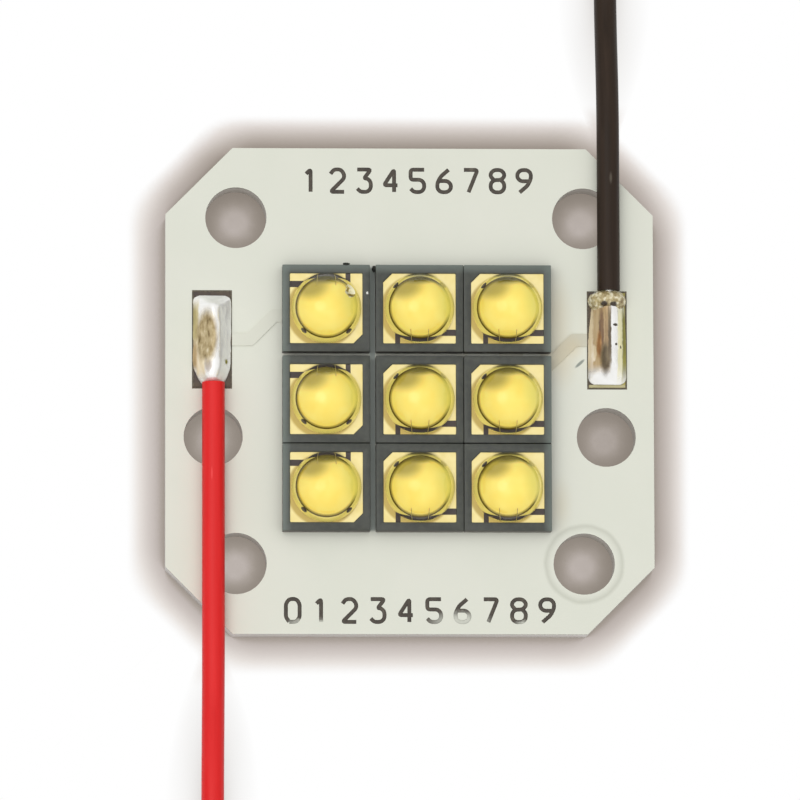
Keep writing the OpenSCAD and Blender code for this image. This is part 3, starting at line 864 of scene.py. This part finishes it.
domes = place_copies(dome, "dome", "lens", clear_silicone())

# %% Chipped lens
CHIP_FROM_MIDDLE = Vector((1.05, 0.68, 0.9)) * MM
CHIP_SIZE = (0.36 * MM, 0.3 * MM, 0.36 * MM)
CHIP_TURN = (0.4, 0.3, 0.6)
CHIP_FINENESS = 2
CHIP_ROUGH = 0.5
CHIP_SEED = 4
CHIP_SMOOTH_BELOW = math.radians(25)
chip_low, chip_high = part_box("led_1_lens")
chip_middle = (chip_low + chip_high) / 2
chip_middle.z = chip_high.z - LENS_RADIUS


def rough_ball(fineness, rough, seed, half_size, middle, turned=(0, 0, 0)):
    """A ball with its points pushed about, then stretched, turned and moved into place."""
    bpy.ops.object.select_all(action="DESELECT")
    bpy.ops.mesh.primitive_ico_sphere_add(subdivisions=fineness, radius=1)
    ball = bpy.context.object
    bpy.ops.object.mode_set(mode="EDIT")
    bpy.ops.mesh.select_all(action="SELECT")
    bpy.ops.transform.vertex_random(offset=rough, seed=seed)
    bpy.ops.object.mode_set(mode="OBJECT")
    ball.scale = half_size
    ball.rotation_euler = turned
    ball.location = middle
    bpy.ops.object.transform_apply(location=True, rotation=True, scale=True)
    return ball


splinter = rough_ball(CHIP_FINENESS, CHIP_ROUGH, CHIP_SEED, CHIP_SIZE, chip_middle + CHIP_FROM_MIDDLE,
                      CHIP_TURN)
splinter.data.materials.append(torn_silicone())
select_only(domes[0])
modify(domes[0], "BOOLEAN", operation="DIFFERENCE", object=splinter, material_mode="TRANSFER")
bpy.data.objects.remove(splinter)
bpy.ops.object.shade_smooth_by_angle(angle=CHIP_SMOOTH_BELOW)
print("chipped dome:", len(domes[0].data.polygons), "faces")

# %% [markdown]
# ## Dirt and painted shade
# A white speck of dust lies on the first emitter's rim, and a dark sliver of moulding clings to its upper
# edge. A dark plug of painted shade stands in the gap beside it, where the gap's mouth lies in shadow. Each
# is a small ball with its points pushed about by Randomize.

# %% Dust, slivers and painted shade in a gap
SPECK_FINENESS = 3
SPECK_ROUGH = 0.25
body_top = body_high.z / MM
board_top = mask_high.z / MM
GAP_DEPTH = body_top - board_top
DIRT_AND_SHADE = (("dust_speck", (-1.9, 4.22, body_top + 0.015), (0.045, 0.06, 0.03), "white_mask"),
        # Painted shade: a dark plug that fills the mouth of the gap.
        ("gap_shade_plug", (-1.58, 5.34, body_top - GAP_DEPTH / 2), (0.1, 0.13, GAP_DEPTH / 2), "led_moulding"),
        ("edge_sliver", (-2.82, block_top / MM + 0.03, body_top - 0.02), (0.15, 0.06, 0.05), "led_moulding"))


def dirt(name, stops):
    """Dry dirt, also the dark plug of painted shade in the gap: matt, uneven in colour."""
    finish, tree, shader, place = new_finish(name, Roughness=0.8)
    mottle(tree, shader, place, 0.05, stops, 2)
    return finish


dirt_and_shade_finishes = {"white_mask": dirt("white dust", [(0.3, "#e4e4e0"), (0.7, "#fafaf6")]),
                 "led_moulding": dirt("moulding sliver and gap shade", [(0.3, "#14150f"), (0.7, "#2a2c26")])}
for seed, (name, spot, half_size, slot_name) in enumerate(DIRT_AND_SHADE):
    grain = rough_ball(SPECK_FINENESS, SPECK_ROUGH, seed, [half * MM for half in half_size],
                       [part * MM for part in spot])
    grain.name = name
    bpy.ops.object.shade_smooth_by_angle(angle=SHARP_ANGLE)
    grain.data.materials.append(dirt_and_shade_finishes[slot_name])
    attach(grain, "root")
print("dirt:", len(DIRT_AND_SHADE), "grains")

# %% [markdown]
# ## Solder joints
# Each wire is soldered along its pad. The solder has wetted the pad, stands in a ridge over the wire and
# slopes off at the far end like a hipped roof. The CAD solid has that roof with hard edges. A copy of it is
# merged, closed over the wire with a convex hull, turned into an even net with a Remesh modifier, smoothed
# as if melted, and given the small swells of frozen metal with a Displace modifier. Melting draws its foot
# in, so the foot is spread again to the pad's edges. The left joint has sunk beside the wire, so its net is
# pushed down there, and its end narrows towards the insulation, so that bare pad shows at both lower
# corners.

# %% Solder joint
SOLDER_NET = 0.03 * MM
MELT_ROUNDS = 10
SWELL_SIZE = 0.5 * MM
SWELL_DEPTH = 0.035 * MM
FOOT_HEIGHT = 0.3 * MM
FOOT_SPREAD = 0.09
END_SPREAD = 0.02
FACES_UP = 0.2
pad_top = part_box("copper_tracks")[1].z
swells = bpy.data.textures.new("solder swells", "CLOUDS")
swells.noise_scale = SWELL_SIZE


def melted_copy(name, node):
    """A copy of a CAD solid with its hard edges melted."""
    lump = put_in_scene(name, nodes[node].data.copy())
    bpy.ops.object.mode_set(mode="EDIT")
    bpy.ops.mesh.select_all(action="SELECT")
    bpy.ops.mesh.remove_doubles(threshold=NEAR)
    bpy.ops.mesh.customdata_custom_splitnormals_clear()
    bpy.ops.mesh.convex_hull()
    bpy.ops.object.mode_set(mode="OBJECT")
    modify(lump, "REMESH", mode="VOXEL", voxel_size=SOLDER_NET)
    modify(lump, "SMOOTH", factor=0.5, iterations=MELT_ROUNDS)
    modify(lump, "DISPLACE", texture=swells, texture_coords="LOCAL", strength=SWELL_DEPTH, mid_level=0.5)
    low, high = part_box(node)
    middle = (low + high) / 2
    for vertex in lump.data.vertices:
        share = min(max(1 - (vertex.co.z - pad_top) / FOOT_HEIGHT, 0), 1)
        vertex.co.x += (vertex.co.x - middle.x) * FOOT_SPREAD * share
        vertex.co.y += (vertex.co.y - middle.y) * END_SPREAD * share
    bpy.ops.object.shade_smooth()
    lump.data.materials.clear()
    return lump


def press_down(lump, x, y, half_x, half_y, depth):
    """Sinks the top of a lump in an oval, all in millimetres."""
    steepness = [vertex.normal.z for vertex in lump.data.vertices]
    for vertex, up in zip(lump.data.vertices, steepness):
        across = (vertex.co.x / MM - x) / half_x
        along = (vertex.co.y / MM - y) / half_y
        near = max(0, 1 - across * across - along * along)
        if up > FACES_UP:
            vertex.co.z -= depth * MM * near * near


def draw_in(lump, x, wide_y, narrow_y, share, reach):
    """Narrows a lump about x to a share of its width from wide_y to narrow_y, and lengthens it by reach."""
    for vertex in lump.data.vertices:
        along = min(max((vertex.co.y / MM - wide_y) / (narrow_y - wide_y), 0), 1)
        vertex.co.x -= (vertex.co.x - x * MM) * (1 - share) * along
        vertex.co.y += reach * MM * along


red_joint = melted_copy("positive_joint", "positive_solder")
press_down(red_joint, x=-9.05, y=2.5, half_x=0.5, half_y=1.3, depth=0.12)
press_down(red_joint, x=red_x, y=3.5, half_x=0.4, half_y=0.8, depth=-0.07)
draw_in(red_joint, x=-8.2, wide_y=2.1, narrow_y=1.3, share=1.12, reach=0)
draw_in(red_joint, x=red_x, wide_y=0.95, narrow_y=0.4, share=0.62, reach=-0.36)
draw_in(red_joint, x=red_x, wide_y=3.5, narrow_y=4.3, share=1, reach=-0.17)
black_joint = melted_copy("negative_joint", "negative_solder")
press_down(black_joint, x=black_x, y=1.4, half_x=0.45, half_y=0.8, depth=-0.07)
draw_in(black_joint, x=black_x, wide_y=1.1, narrow_y=0.3, share=1, reach=0.13)
for joint in (red_joint, black_joint):
    print(joint.name, len(joint.data.polygons), "faces")

# %% [markdown]
# ## Solder finish
# Bright tin lead solder mirrors the studio. A brown film lies on part of both joints, partly burnt flux and
# partly a painted reflection of a brown room on the left: long streaks on the left flank of the right joint,
# with a cream painted highlight, and on the left one a mottled brown hollow with a tan edge and a grey patch
# below it. Each stain is an oval or a box on the board with ragged edges. The film is a varnish, so the
# metal shows less under it.

# %% Solder finish
CREAM = [(0.3, "#e6d3ab"), (0.5, "#f4e2c0"), (0.7, "#fff2dc")]
TAN = [(0.3, "#b59a70"), (0.5, "#c6aa7e"), (0.7, "#d9c199")]
TAWNY = [(0.3, "#8f7557"), (0.7, "#ae956d")]
BROWN = [(0.3, "#6e564a"), (0.5, "#856a56"), (0.7, "#a08467")]
OCHRE = [(0.3, "#94683f"), (0.5, "#ad7d4d"), (0.7, "#d2a877")]
GREY = [(0.3, "#574b3a"), (0.5, "#6a5d48"), (0.7, "#837456")]
SPECKLES = [(0.28, "#76633d"), (0.42, "#a8946a"), (0.6, "#c6b48c"), (0.76, "#e8ddc0")]
LILAC = [(0.3, "#b3a89f"), (0.7, "#cdc4bc")]
DARK = [(0.3, "#3a342d"), (0.7, "#5a5246")]
KHAKI = [(0.3, "#a99c6a"), (0.5, "#beb07c"), (0.7, "#d3c79a")]
OLIVE = [(0.3, "#7d7833"), (0.7, "#a29c4c")]
LIME = [(0.3, "#efe8b2"), (0.7, "#f9f4cf")]
SOLDER_METAL = 0.42
FILM_METAL = 0.3
HARD = 0.7
MEDIUM = 0.55
SOFT = 0.4


def frozen_solder(name, stains):
    """Bright solder with stains: where, size, square or oval, edge, colours, grain and its stretch."""
    finish, tree, shader, place = new_finish(name, Metallic=SOLDER_METAL, Roughness=0.26)
    _, shade = mottle(tree, shader, place, 0.8, [(0.3, "#f3f2ee"), (0.7, "#fdfdfb")], 1)
    torn = ragged(tree, place, 0.2, 0.05)
    film = None
    for x, y, size, square, edge, colours, grain_mm, stretch in stains:
        share = patch(tree, around(tree, torn, (x, y), size, 0, square), 1, edge)
        drawn = add_node(tree, "ShaderNodeMapping", {"Scale": (1, stretch, 1)}, {"Vector": place})
        grain = add_node(tree, "ShaderNodeTexNoise", {"Scale": per_size(grain_mm), "Detail": 4},
                         {"Vector": drawn.outputs["Vector"]})
        burnt = add_node(tree, "ShaderNodeValToRGB", {"stops": colours}, {"Fac": grain.outputs["Fac"]})
        shade = tint(tree, shade, share, burnt.outputs["Color"])
        if film is None:
            film = share
        else:
            most = add_node(tree, "ShaderNodeMath", {"operation": "MAXIMUM"}, {0: film, 1: share})
            film = most.outputs["Value"]
    tree.links.new(shade, shader.inputs["Base Color"])
    metal = add_node(tree, "ShaderNodeMapRange", {"To Min": SOLDER_METAL, "To Max": FILM_METAL},
                     {"Value": film})
    tree.links.new(metal.outputs["Result"], shader.inputs["Metallic"])
    vary_roughness(tree, shader, film, 0.26, 0.5)
    return finish


# On both joints the browns of the left flanks are partly burnt flux and partly a painted reflection.
red_stains_and_reflections = [(-9.44, 2.9, (0.2, 1.3), True, SOFT, KHAKI, 0.3, 0.2),
              (-9.44, 1.5, (0.2, 0.9), True, SOFT, TAN, 0.3, 0.2),
              (-9.2, 1.3, (0.24, 1.0), True, SOFT, CREAM, 0.3, 0.2),
              (-8.88, 0.99, (0.22, 0.4), False, SOFT, LILAC, 0.2, 0.3),
              (-8.95, 2.3, (0.6, 1.5), False, MEDIUM, SPECKLES, 0.2, 0.5),
              (-8.08, 1.22, (0.08, 0.16), False, SOFT, OLIVE, 0.1, 1)]
black_stains_and_reflections = [(8.25, 2.5, (0.62, 1.85), True, HARD, TAN, 0.25, 0.12),
                (7.95, 2.4, (0.16, 1.85), True, SOFT, CREAM, 0.2, 0.12),
                (8.64, 2.75, (0.12, 1.25), True, SOFT, TAWNY, 0.15, 0.12),
                (8.42, 2.6, (0.16, 1.4), False, SOFT, BROWN, 0.15, 0.12),
                (8.32, 2.0, (0.16, 0.8), False, SOFT, OCHRE, 0.15, 0.2),
                # Painted highlight: a cream spot on the right joint's left flank.
                (8.1, 1.65, (0.13, 0.42), False, HARD, CREAM, 0.2, 0.3),
                (8.6, 1.4, (0.3, 0.95), False, SOFT, GREY, 0.2, 0.3),
                (8.77, 2.5, (0.1, 1.7), True, SOFT, GREY, 0.2, 0.12),
                (9.26, 2.2, (0.16, 2.1), True, SOFT, LIME, 0.2, 0.2),
                (9.46, 2.2, (0.14, 2.2), True, SOFT, OLIVE, 0.2, 0.2),
                (9.02, 2.86, (0.13, 0.07), False, HARD, DARK, 0.1, 1),
                (9.07, 2.02, (0.07, 0.06), False, HARD, DARK, 0.1, 1),
                (9.27, 1.9, (0.04, 0.08), False, HARD, DARK, 0.1, 1)]
for joint, node, stains in ((red_joint, "positive_solder", red_stains_and_reflections),
                            (black_joint, "negative_solder", black_stains_and_reflections)):
    joint.data.materials.append(frozen_solder(f"bright solder, {joint.name}", stains))
    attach(joint, "root")
    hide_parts(node)
print("solder finished")

# %% [markdown]
# ## Burnt flux
# Where the black insulation meets its joint, rosin flux has boiled up and set in a rough crust over the
# solder's end. A ball is pressed flat, made rough with a Displace modifier, and cut off level with the
# board.

# %% Flux crust
CRUST_SIZE = (0.84, 0.56, 0.98)
CRUST_PLACE = (8.7, 3.97, 1.72)
CRUST_FINENESS = 6
BUBBLE_SIZE = 0.22 * MM
BUBBLE_DEPTH = 0.11 * MM
bubbles = bpy.data.textures.new("flux bubbles", "CLOUDS")
bubbles.noise_scale = BUBBLE_SIZE
bpy.ops.object.select_all(action="DESELECT")
bpy.ops.mesh.primitive_ico_sphere_add(subdivisions=CRUST_FINENESS, radius=1,
                                      location=[c * MM for c in CRUST_PLACE])
crust = bpy.context.object
crust.name = "flux_crust"
crust.scale = [c * MM for c in CRUST_SIZE]
bpy.ops.object.transform_apply(location=True, rotation=True, scale=True)
modify(crust, "DISPLACE", texture=bubbles, texture_coords="LOCAL", strength=BUBBLE_DEPTH, mid_level=0.6)
bpy.ops.object.mode_set(mode="EDIT")
bpy.ops.mesh.select_all(action="SELECT")
bpy.ops.mesh.bisect(plane_co=(0, 0, film_top), plane_no=(0, 0, 1), clear_inner=True, use_fill=True)
bpy.ops.mesh.select_all(action="SELECT")
bpy.ops.mesh.normals_make_consistent(inside=False)
bpy.ops.object.mode_set(mode="OBJECT")
bpy.ops.object.shade_smooth()
print("flux crust:", len(crust.data.polygons), "faces")

# %% Flux finish
HOLLOW_SHADE_SPOTS = ((8.52, 3.76), (8.94, 3.74), (8.06, 4.36))
HOLLOW_SHADE_SIZE = (0.2, 0.17)


def burnt_rosin():
    """Boiled rosin: glossy, cream where it foamed, with dark spots of painted shade in its hollows."""
    finish, tree, shader, place = new_finish("burnt rosin flux", Roughness=0.2)
    foam, shade = mottle(tree, shader, place, 0.22, [(0.3, "#86724a"), (0.42, "#b09e70"), (0.52, "#cec196"),
                                                     (0.6, "#f0e8cc")], 3)
    torn = ragged(tree, place, 0.12, 0.08)
    # Painted shade: dark spots in the crust's hollows.
    for where in HOLLOW_SHADE_SPOTS:
        shade = stain(tree, torn, shade, "#352a1c", where, HOLLOW_SHADE_SIZE)
    tree.links.new(shade, shader.inputs["Base Color"])
    vary_roughness(tree, shader, foam, 0.15, 0.3)
    bump(tree, shader, foam, 0.003)
    return finish


crust.data.materials.append(burnt_rosin())
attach(crust, "root")
print("flux finished")

# %% [markdown]
# ## Conductors
# The stripped starts of both leads are tinned copper strands, drowned in the solder. They hardly show, so
# the plain CAD solids stay and get a soft grey metal, which the bare far ends use too.

# %% Conductor finish


def tinned_copper():
    """Tinned copper strands: a soft grey metal."""
    finish, tree, shader, place = new_finish("tinned copper", Metallic=1, Roughness=0.3)
    mottle(tree, shader, place, 0.1, [(0.3, "#b9b6ac"), (0.7, "#dad8d0")], 3)
    return finish


tinned = tinned_copper()
dress(tinned, "positive_conductor", "negative_conductor")
print("conductors tinned")

# %% [markdown]
# ## Insulation
# PVC leaves the extruder satin smooth, with very fine lines along the wire. The curve's own UV map runs
# along and around it, so the lines follow every turn. They are drawn coarser than they are, or they
# wouldn't show. Each lead has one small pale mark, a painted highlight.

# %% Insulation finish
RED_PAINTED_HIGHLIGHT = ((-8.73, -3.76), (0.06, 0.4), "#fb5151")
BLACK_PAINTED_HIGHLIGHT = ((8.84, 9.35), (0.09, 0.35), "#70685c")
LINES_ALONG = 30
LINES_AROUND = 9


def extruded_pvc(name, dark, light, gloss, mark):
    """Coloured PVC: satin, with faint lines along the wire and one pale mark of painted highlight."""
    finish, tree, shader, place = new_finish(name, Roughness=0.42, IOR=1.53, Specular_IOR_Level=gloss)
    wrap = add_node(tree, "ShaderNodeTexCoord").outputs["UV"]
    stretch = add_node(tree, "ShaderNodeMapping", {"Scale": (LINES_ALONG, LINES_AROUND, 1)},
                       {"Vector": wrap})
    lines = add_node(tree, "ShaderNodeTexNoise", {"Scale": 1, "Detail": 3},
                     {"Vector": stretch.outputs["Vector"]}).outputs["Fac"]
    ramp = add_node(tree, "ShaderNodeValToRGB", {"stops": [(0.3, dark), (0.7, light)]}, {"Fac": lines})
    # Painted highlight: a small pale streak on the lead.
    where, size, mark_colour = mark
    shade = stain(tree, place, ramp.outputs["Color"], mark_colour, where, size, 0.5, 0.2)
    tree.links.new(shade, shader.inputs["Base Color"])
    vary_roughness(tree, shader, lines, 0.36, 0.5)
    bump(tree, shader, lines, 0.004)
    return finish


red_pvc = extruded_pvc("red PVC insulation", "#de1f1f", "#e62828", 0.2, RED_PAINTED_HIGHLIGHT)
black_pvc = extruded_pvc("black PVC insulation", "#2a2018", "#372b22", 0.12, BLACK_PAINTED_HIGHLIGHT)
red_lead.data.materials.append(red_pvc)
black_lead.data.materials.append(black_pvc)
print("insulation finished")

# %% [markdown]
# ## Ties and bare ends
# Each coil is held by a tie, a strip folded round the bundle. A box as big as the bundle loses its two end
# faces, its corners are rounded, and a Solidify modifier gives the strip its thickness. The lead's far end
# is stripped: seven tinned strands with a slow twist, each a curve that winds round the lead's own line.

# %% Coil ties
TIE_WIDTH = 1.2 * MM
TIE_THICKNESS = 0.12 * MM
TIE_CORNER = 0.45 * MM
TIE_SLACK = 0.03
TIE_TURN = 0.3
BAND_INSIDE = COIL_RADIUS - (LOW_TURNS + CLIMB_TURNS) * TURN_PITCH - LEAD_RADIUS / MM - TIE_SLACK
BAND_OUTSIDE = COIL_RADIUS + LEAD_RADIUS / MM + TIE_SLACK
BAND_LOW = LOW_HEIGHT - LEAD_RADIUS / MM - TIE_SLACK
BAND_HIGH = HIGH_HEIGHT + LEAD_RADIUS / MM + TIE_SLACK


def coil_tie(name, x, side):
    """A strip round the coil's bundle of turns."""
    bpy.ops.object.select_all(action="DESELECT")
    bpy.ops.mesh.primitive_cube_add(size=1, location=((BAND_INSIDE + BAND_OUTSIDE) / 2 * MM, 0,
                                                      (BAND_LOW + BAND_HIGH) / 2 * MM))
    tie = bpy.context.object
    tie.name = name
    tie.scale = ((BAND_OUTSIDE - BAND_INSIDE) * MM, TIE_WIDTH, (BAND_HIGH - BAND_LOW) * MM)
    bpy.ops.object.transform_apply(location=True, rotation=True, scale=True)
    pick(tie, "FACE", lambda f: abs(f.normal.y) > STRAIGHT_ALONG)
    bpy.ops.mesh.delete(type="ONLY_FACE")
    bpy.ops.object.mode_set(mode="OBJECT")
    pick(tie, "EDGE", lambda e: abs(edge_ends(tie.data, e)[0].y - edge_ends(tie.data, e)[1].y) > NEAR)
    bpy.ops.mesh.bevel(offset=TIE_CORNER, segments=5, affect="EDGES")
    bpy.ops.object.mode_set(mode="OBJECT")
    modify(tie, "SOLIDIFY", thickness=TIE_THICKNESS, offset=1)
    bpy.ops.object.shade_smooth_by_angle(angle=SMOOTH_BELOW)
    centre = Vector((x - side * COIL_RADIUS, side * COIL_Y, 0)) * MM
    facing = 2 * math.pi * TIE_TURN + (0 if side > 0 else math.pi)
    tie.data.transform(Matrix.Translation(centre) @ Matrix.Rotation(facing, 4, "Z"))
    return tie


red_tie = coil_tie("positive_tie", red_x, -1)
black_tie = coil_tie("negative_tie", black_x, 1)
print("ties:", len(red_tie.data.polygons), "faces each")

# %% Bare ends
STRANDS = 7
STRAND_RADIUS = 0.083 * MM
STRAND_ROUNDNESS = 2
STRAND_TWIST = 2 * math.pi / 4
BARE_LENGTH = 4.5
BARE_STEPS = 24


def bare_end(name, x, side):
    """Twisted strands that go on from the end of a lead along its coil."""
    curve = round_line(name, STRAND_RADIUS, STRAND_ROUNDNESS)
    turns = BARE_LENGTH / (2 * math.pi * COIL_RADIUS)
    centre = Vector((x - side * COIL_RADIUS, side * COIL_Y, HIGH_HEIGHT)) * MM
    for strand in range(STRANDS):
        reach = 0 if strand == 0 else 2 * STRAND_RADIUS
        line = []
        for step in range(BARE_STEPS + 1):
            share = step / BARE_STEPS
            middle = coil_point(x, side, ALL_TURNS + share * turns) * MM
            outward = (middle - centre).normalized()
            angle = strand * 2 * math.pi / (STRANDS - 1) + share * BARE_LENGTH * STRAND_TWIST
            line.append(middle + (outward * math.cos(angle) + Vector((0, 0, 1)) * math.sin(angle)) * reach)
        add_line(curve, line)
    tip = put_in_scene(name, curve)
    bpy.ops.object.convert(target="MESH")
    bpy.ops.object.shade_smooth_by_angle(angle=SHARP_ANGLE)
    return tip


red_tip = bare_end("positive_bare_end", red_x, -1)
black_tip = bare_end("negative_bare_end", black_x, 1)
print("bare ends:", len(red_tip.data.polygons), "faces each")

# %% Tie finish


def polyester_tie():
    """Woven polyester tape: matt black with a fine rib."""
    finish, tree, shader, place = new_finish("woven polyester tape", Roughness=0.75)
    rib, _ = mottle(tree, shader, place, 0.1, [(0.3, "#1d1d1e"), (0.7, "#333335")], 2)
    bump(tree, shader, rib, 0.02)
    return finish


tape = polyester_tie()
for tie in (red_tie, black_tie):
    tie.data.materials.append(tape)
    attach(tie, "root")
for tip in (red_tip, black_tip):
    tip.data.materials.append(tinned)
    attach(tip, "root")
print("ties and bare ends finished")

# %% [markdown]
# ## Leads attached
# Each lead is attached to the root, and the CAD lead and coil that it stands for are hidden.

for lead, side, slot_name, ends in ((red_lead, "positive", "red_insulation", [red_tie, red_tip]),
                                    (black_lead, "negative", "black_insulation", [black_tie, black_tip])):
    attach(lead, "root")
    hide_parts(f"{side}_lead", f"{side}_coil")

# %% [markdown]
# ## Studio
# A white sky shows the colours as they are written. It is brightest overhead, a little to the left,
# and falls off to a dark horizon, so that little shade gathers round the emitters. Metal, glass and the eye
# see a white room there instead, as bright solder would in a studio. A high window on the left puts a soft
# light on each dome. The table is plain white to the eye, and an Ambient Occlusion node darkens it close to
# the board, as its soft shadow, more so on the sides away from the window and the eye, and much less beside
# the thin leads.

# %% Table
TABLE_SIZE = 2
SHADOW_REACH = 1.72 * MM
BOARD_HALF = mask_high.x / MM
SHADOW_EDGE = BOARD_HALF + 2.3
FAR_SIDE_FROM = 7 * MM
EAST_SHARE = 0.5
NEAR_SHADES = [(0.4, "#91887f"), (0.52, "#a1988f"), (0.585, "#b4aaa3"), (0.625, "#c1b8b3"),
               (0.725, "#ccc3be"), (0.82, "#dcd5d0"), (0.905, "#ece6e1"), (0.96, "#f7f5f3"), (1, "#ffffff")]
FAR_SHADES = [(0.4, "#857c73"), (0.52, "#8f867d"), (0.585, "#968c83"), (0.625, "#a39990"),
              (0.725, "#b4aaa2"), (0.82, "#c9c1ba"), (0.905, "#dfd7d3"), (0.96, "#eee9e4"), (1, "#ffffff")]
LEAD_SHADES = [(0.4, "#d6d2cf"), (0.8, "#f4f3f2"), (1, "#ffffff")]


def seen_directly(tree):
    """1 for what the eye sees, also in a mirror or through glass, and 0 for light on its way."""
    rays = add_node(tree, "ShaderNodeLightPath")
    mirrored = add_node(tree, "ShaderNodeMath", {"operation": "MAXIMUM"},
                        {0: rays.outputs["Is Camera Ray"], 1: rays.outputs["Is Glossy Ray"]})
    seen = add_node(tree, "ShaderNodeMath", {"operation": "MAXIMUM"},
                    {0: mirrored.outputs["Value"], 1: rays.outputs["Is Transmission Ray"]})
    return seen.outputs["Value"]


def table_paint():
    """White paint: even and bright to the eye, with a soft warm shade close to what stands on it."""
    finish, tree, shader, place = new_finish("white table paint", Roughness=0.9, Specular_IOR_Level=0)
    mottle(tree, shader, place, 20, [(0.3, "#f6f6f6"), (0.7, "#fafafa")], 2)
    close = add_node(tree, "ShaderNodeAmbientOcclusion", {"samples": 16, "Distance": SHADOW_REACH})
    near, far, faint = [add_node(tree, "ShaderNodeValToRGB", {"stops": stops}, {"Fac": close.outputs["AO"]})
                        for stops in (NEAR_SHADES, FAR_SHADES, LEAD_SHADES)]
    spot = add_node(tree, "ShaderNodeSeparateXYZ", links={"Vector": place})
    north = add_node(tree, "ShaderNodeMapRange", {"From Min": FAR_SIDE_FROM, "From Max": BOARD_HALF * MM},
                     {"Value": spot.outputs["Y"]})
    east = add_node(tree, "ShaderNodeMapRange",
                    {"From Min": FAR_SIDE_FROM, "From Max": BOARD_HALF * MM, "To Max": EAST_SHARE},
                    {"Value": spot.outputs["X"]})
    far_side = add_node(tree, "ShaderNodeMath", {"operation": "MAXIMUM"},
                        {0: north.outputs["Result"], 1: east.outputs["Result"]})
    board_shade = tint(tree, near.outputs["Color"], far_side.outputs["Value"], far.outputs["Color"])
    shade = stain(tree, place, faint.outputs["Color"], board_shade, (0, 0), (SHADOW_EDGE, SHADOW_EDGE),
                  solid=0.92, square=True)
    seen_white = add_node(tree, "ShaderNodeEmission", links={"Color": shade})
    both = add_node(tree, "ShaderNodeMixShader", links={0: seen_directly(tree), 1: shader.outputs["BSDF"],
                                                        2: seen_white.outputs["Emission"]})
    tree.links.new(both.outputs["Shader"], tree.nodes["Material Output"].inputs["Surface"])
    return finish


bpy.ops.object.select_all(action="DESELECT")
bpy.ops.mesh.primitive_plane_add(size=TABLE_SIZE)
table = bpy.context.object
table.name = "table"
table.data.materials.append(table_paint())
print("table laid")

# %% Sky
HORIZON_LIGHT = 0.12
OVERHEAD_LIGHT = 1.5
FALL_OFF = 2
BRIGHTEST_TOWARDS = Vector((-0.06, 0, 1)).normalized()
WINDOW_LIGHT = 1.3
WINDOW_TOWARDS = Vector((-0.37, 0, 0.93)).normalized()
WINDOW_EDGE = math.radians(24)
WINDOW_CORE = math.radians(10)
sky = bpy.data.worlds.new("studio")
bpy.context.scene.world = sky
sky.use_nodes = True
tree = sky.node_tree
direction = add_node(tree, "ShaderNodeTexCoord").outputs["Generated"]
height = add_node(tree, "ShaderNodeVectorMath", {"operation": "DOT_PRODUCT", 1: BRIGHTEST_TOWARDS},
                  {0: direction})
upper = add_node(tree, "ShaderNodeMath", {"operation": "MAXIMUM", 1: 0}, {0: height.outputs["Value"]})
steep = add_node(tree, "ShaderNodeMath", {"operation": "POWER", 1: FALL_OFF}, {0: upper.outputs["Value"]})
level = add_node(tree, "ShaderNodeMath", {"operation": "MULTIPLY_ADD", 1: OVERHEAD_LIGHT, 2: HORIZON_LIGHT},
                 {0: steep.outputs["Value"]})
facing = add_node(tree, "ShaderNodeVectorMath", {"operation": "DOT_PRODUCT", 1: WINDOW_TOWARDS},
                  {0: direction})
window = add_node(tree, "ShaderNodeMapRange",
                  {"interpolation_type": "SMOOTHSTEP", "From Min": math.cos(WINDOW_EDGE),
                   "From Max": math.cos(WINDOW_CORE), "To Max": WINDOW_LIGHT},
                  {"Value": facing.outputs["Value"]})
total = add_node(tree, "ShaderNodeMath", {"operation": "ADD"},
                 {0: level.outputs["Value"], 1: window.outputs["Result"]})
# A strength of 1 is white, and that is what the eye, a mirror and glass see at least.
strength = add_node(tree, "ShaderNodeMath", {"operation": "MAXIMUM"},
                    {0: total.outputs["Value"], 1: seen_directly(tree)})
background = tree.nodes["Background"]
background.inputs["Color"].default_value = colour("#ffffff")
tree.links.new(strength.outputs["Value"], background.inputs["Strength"])
bpy.context.scene.view_settings.view_transform = "Standard"
print("studio lit")
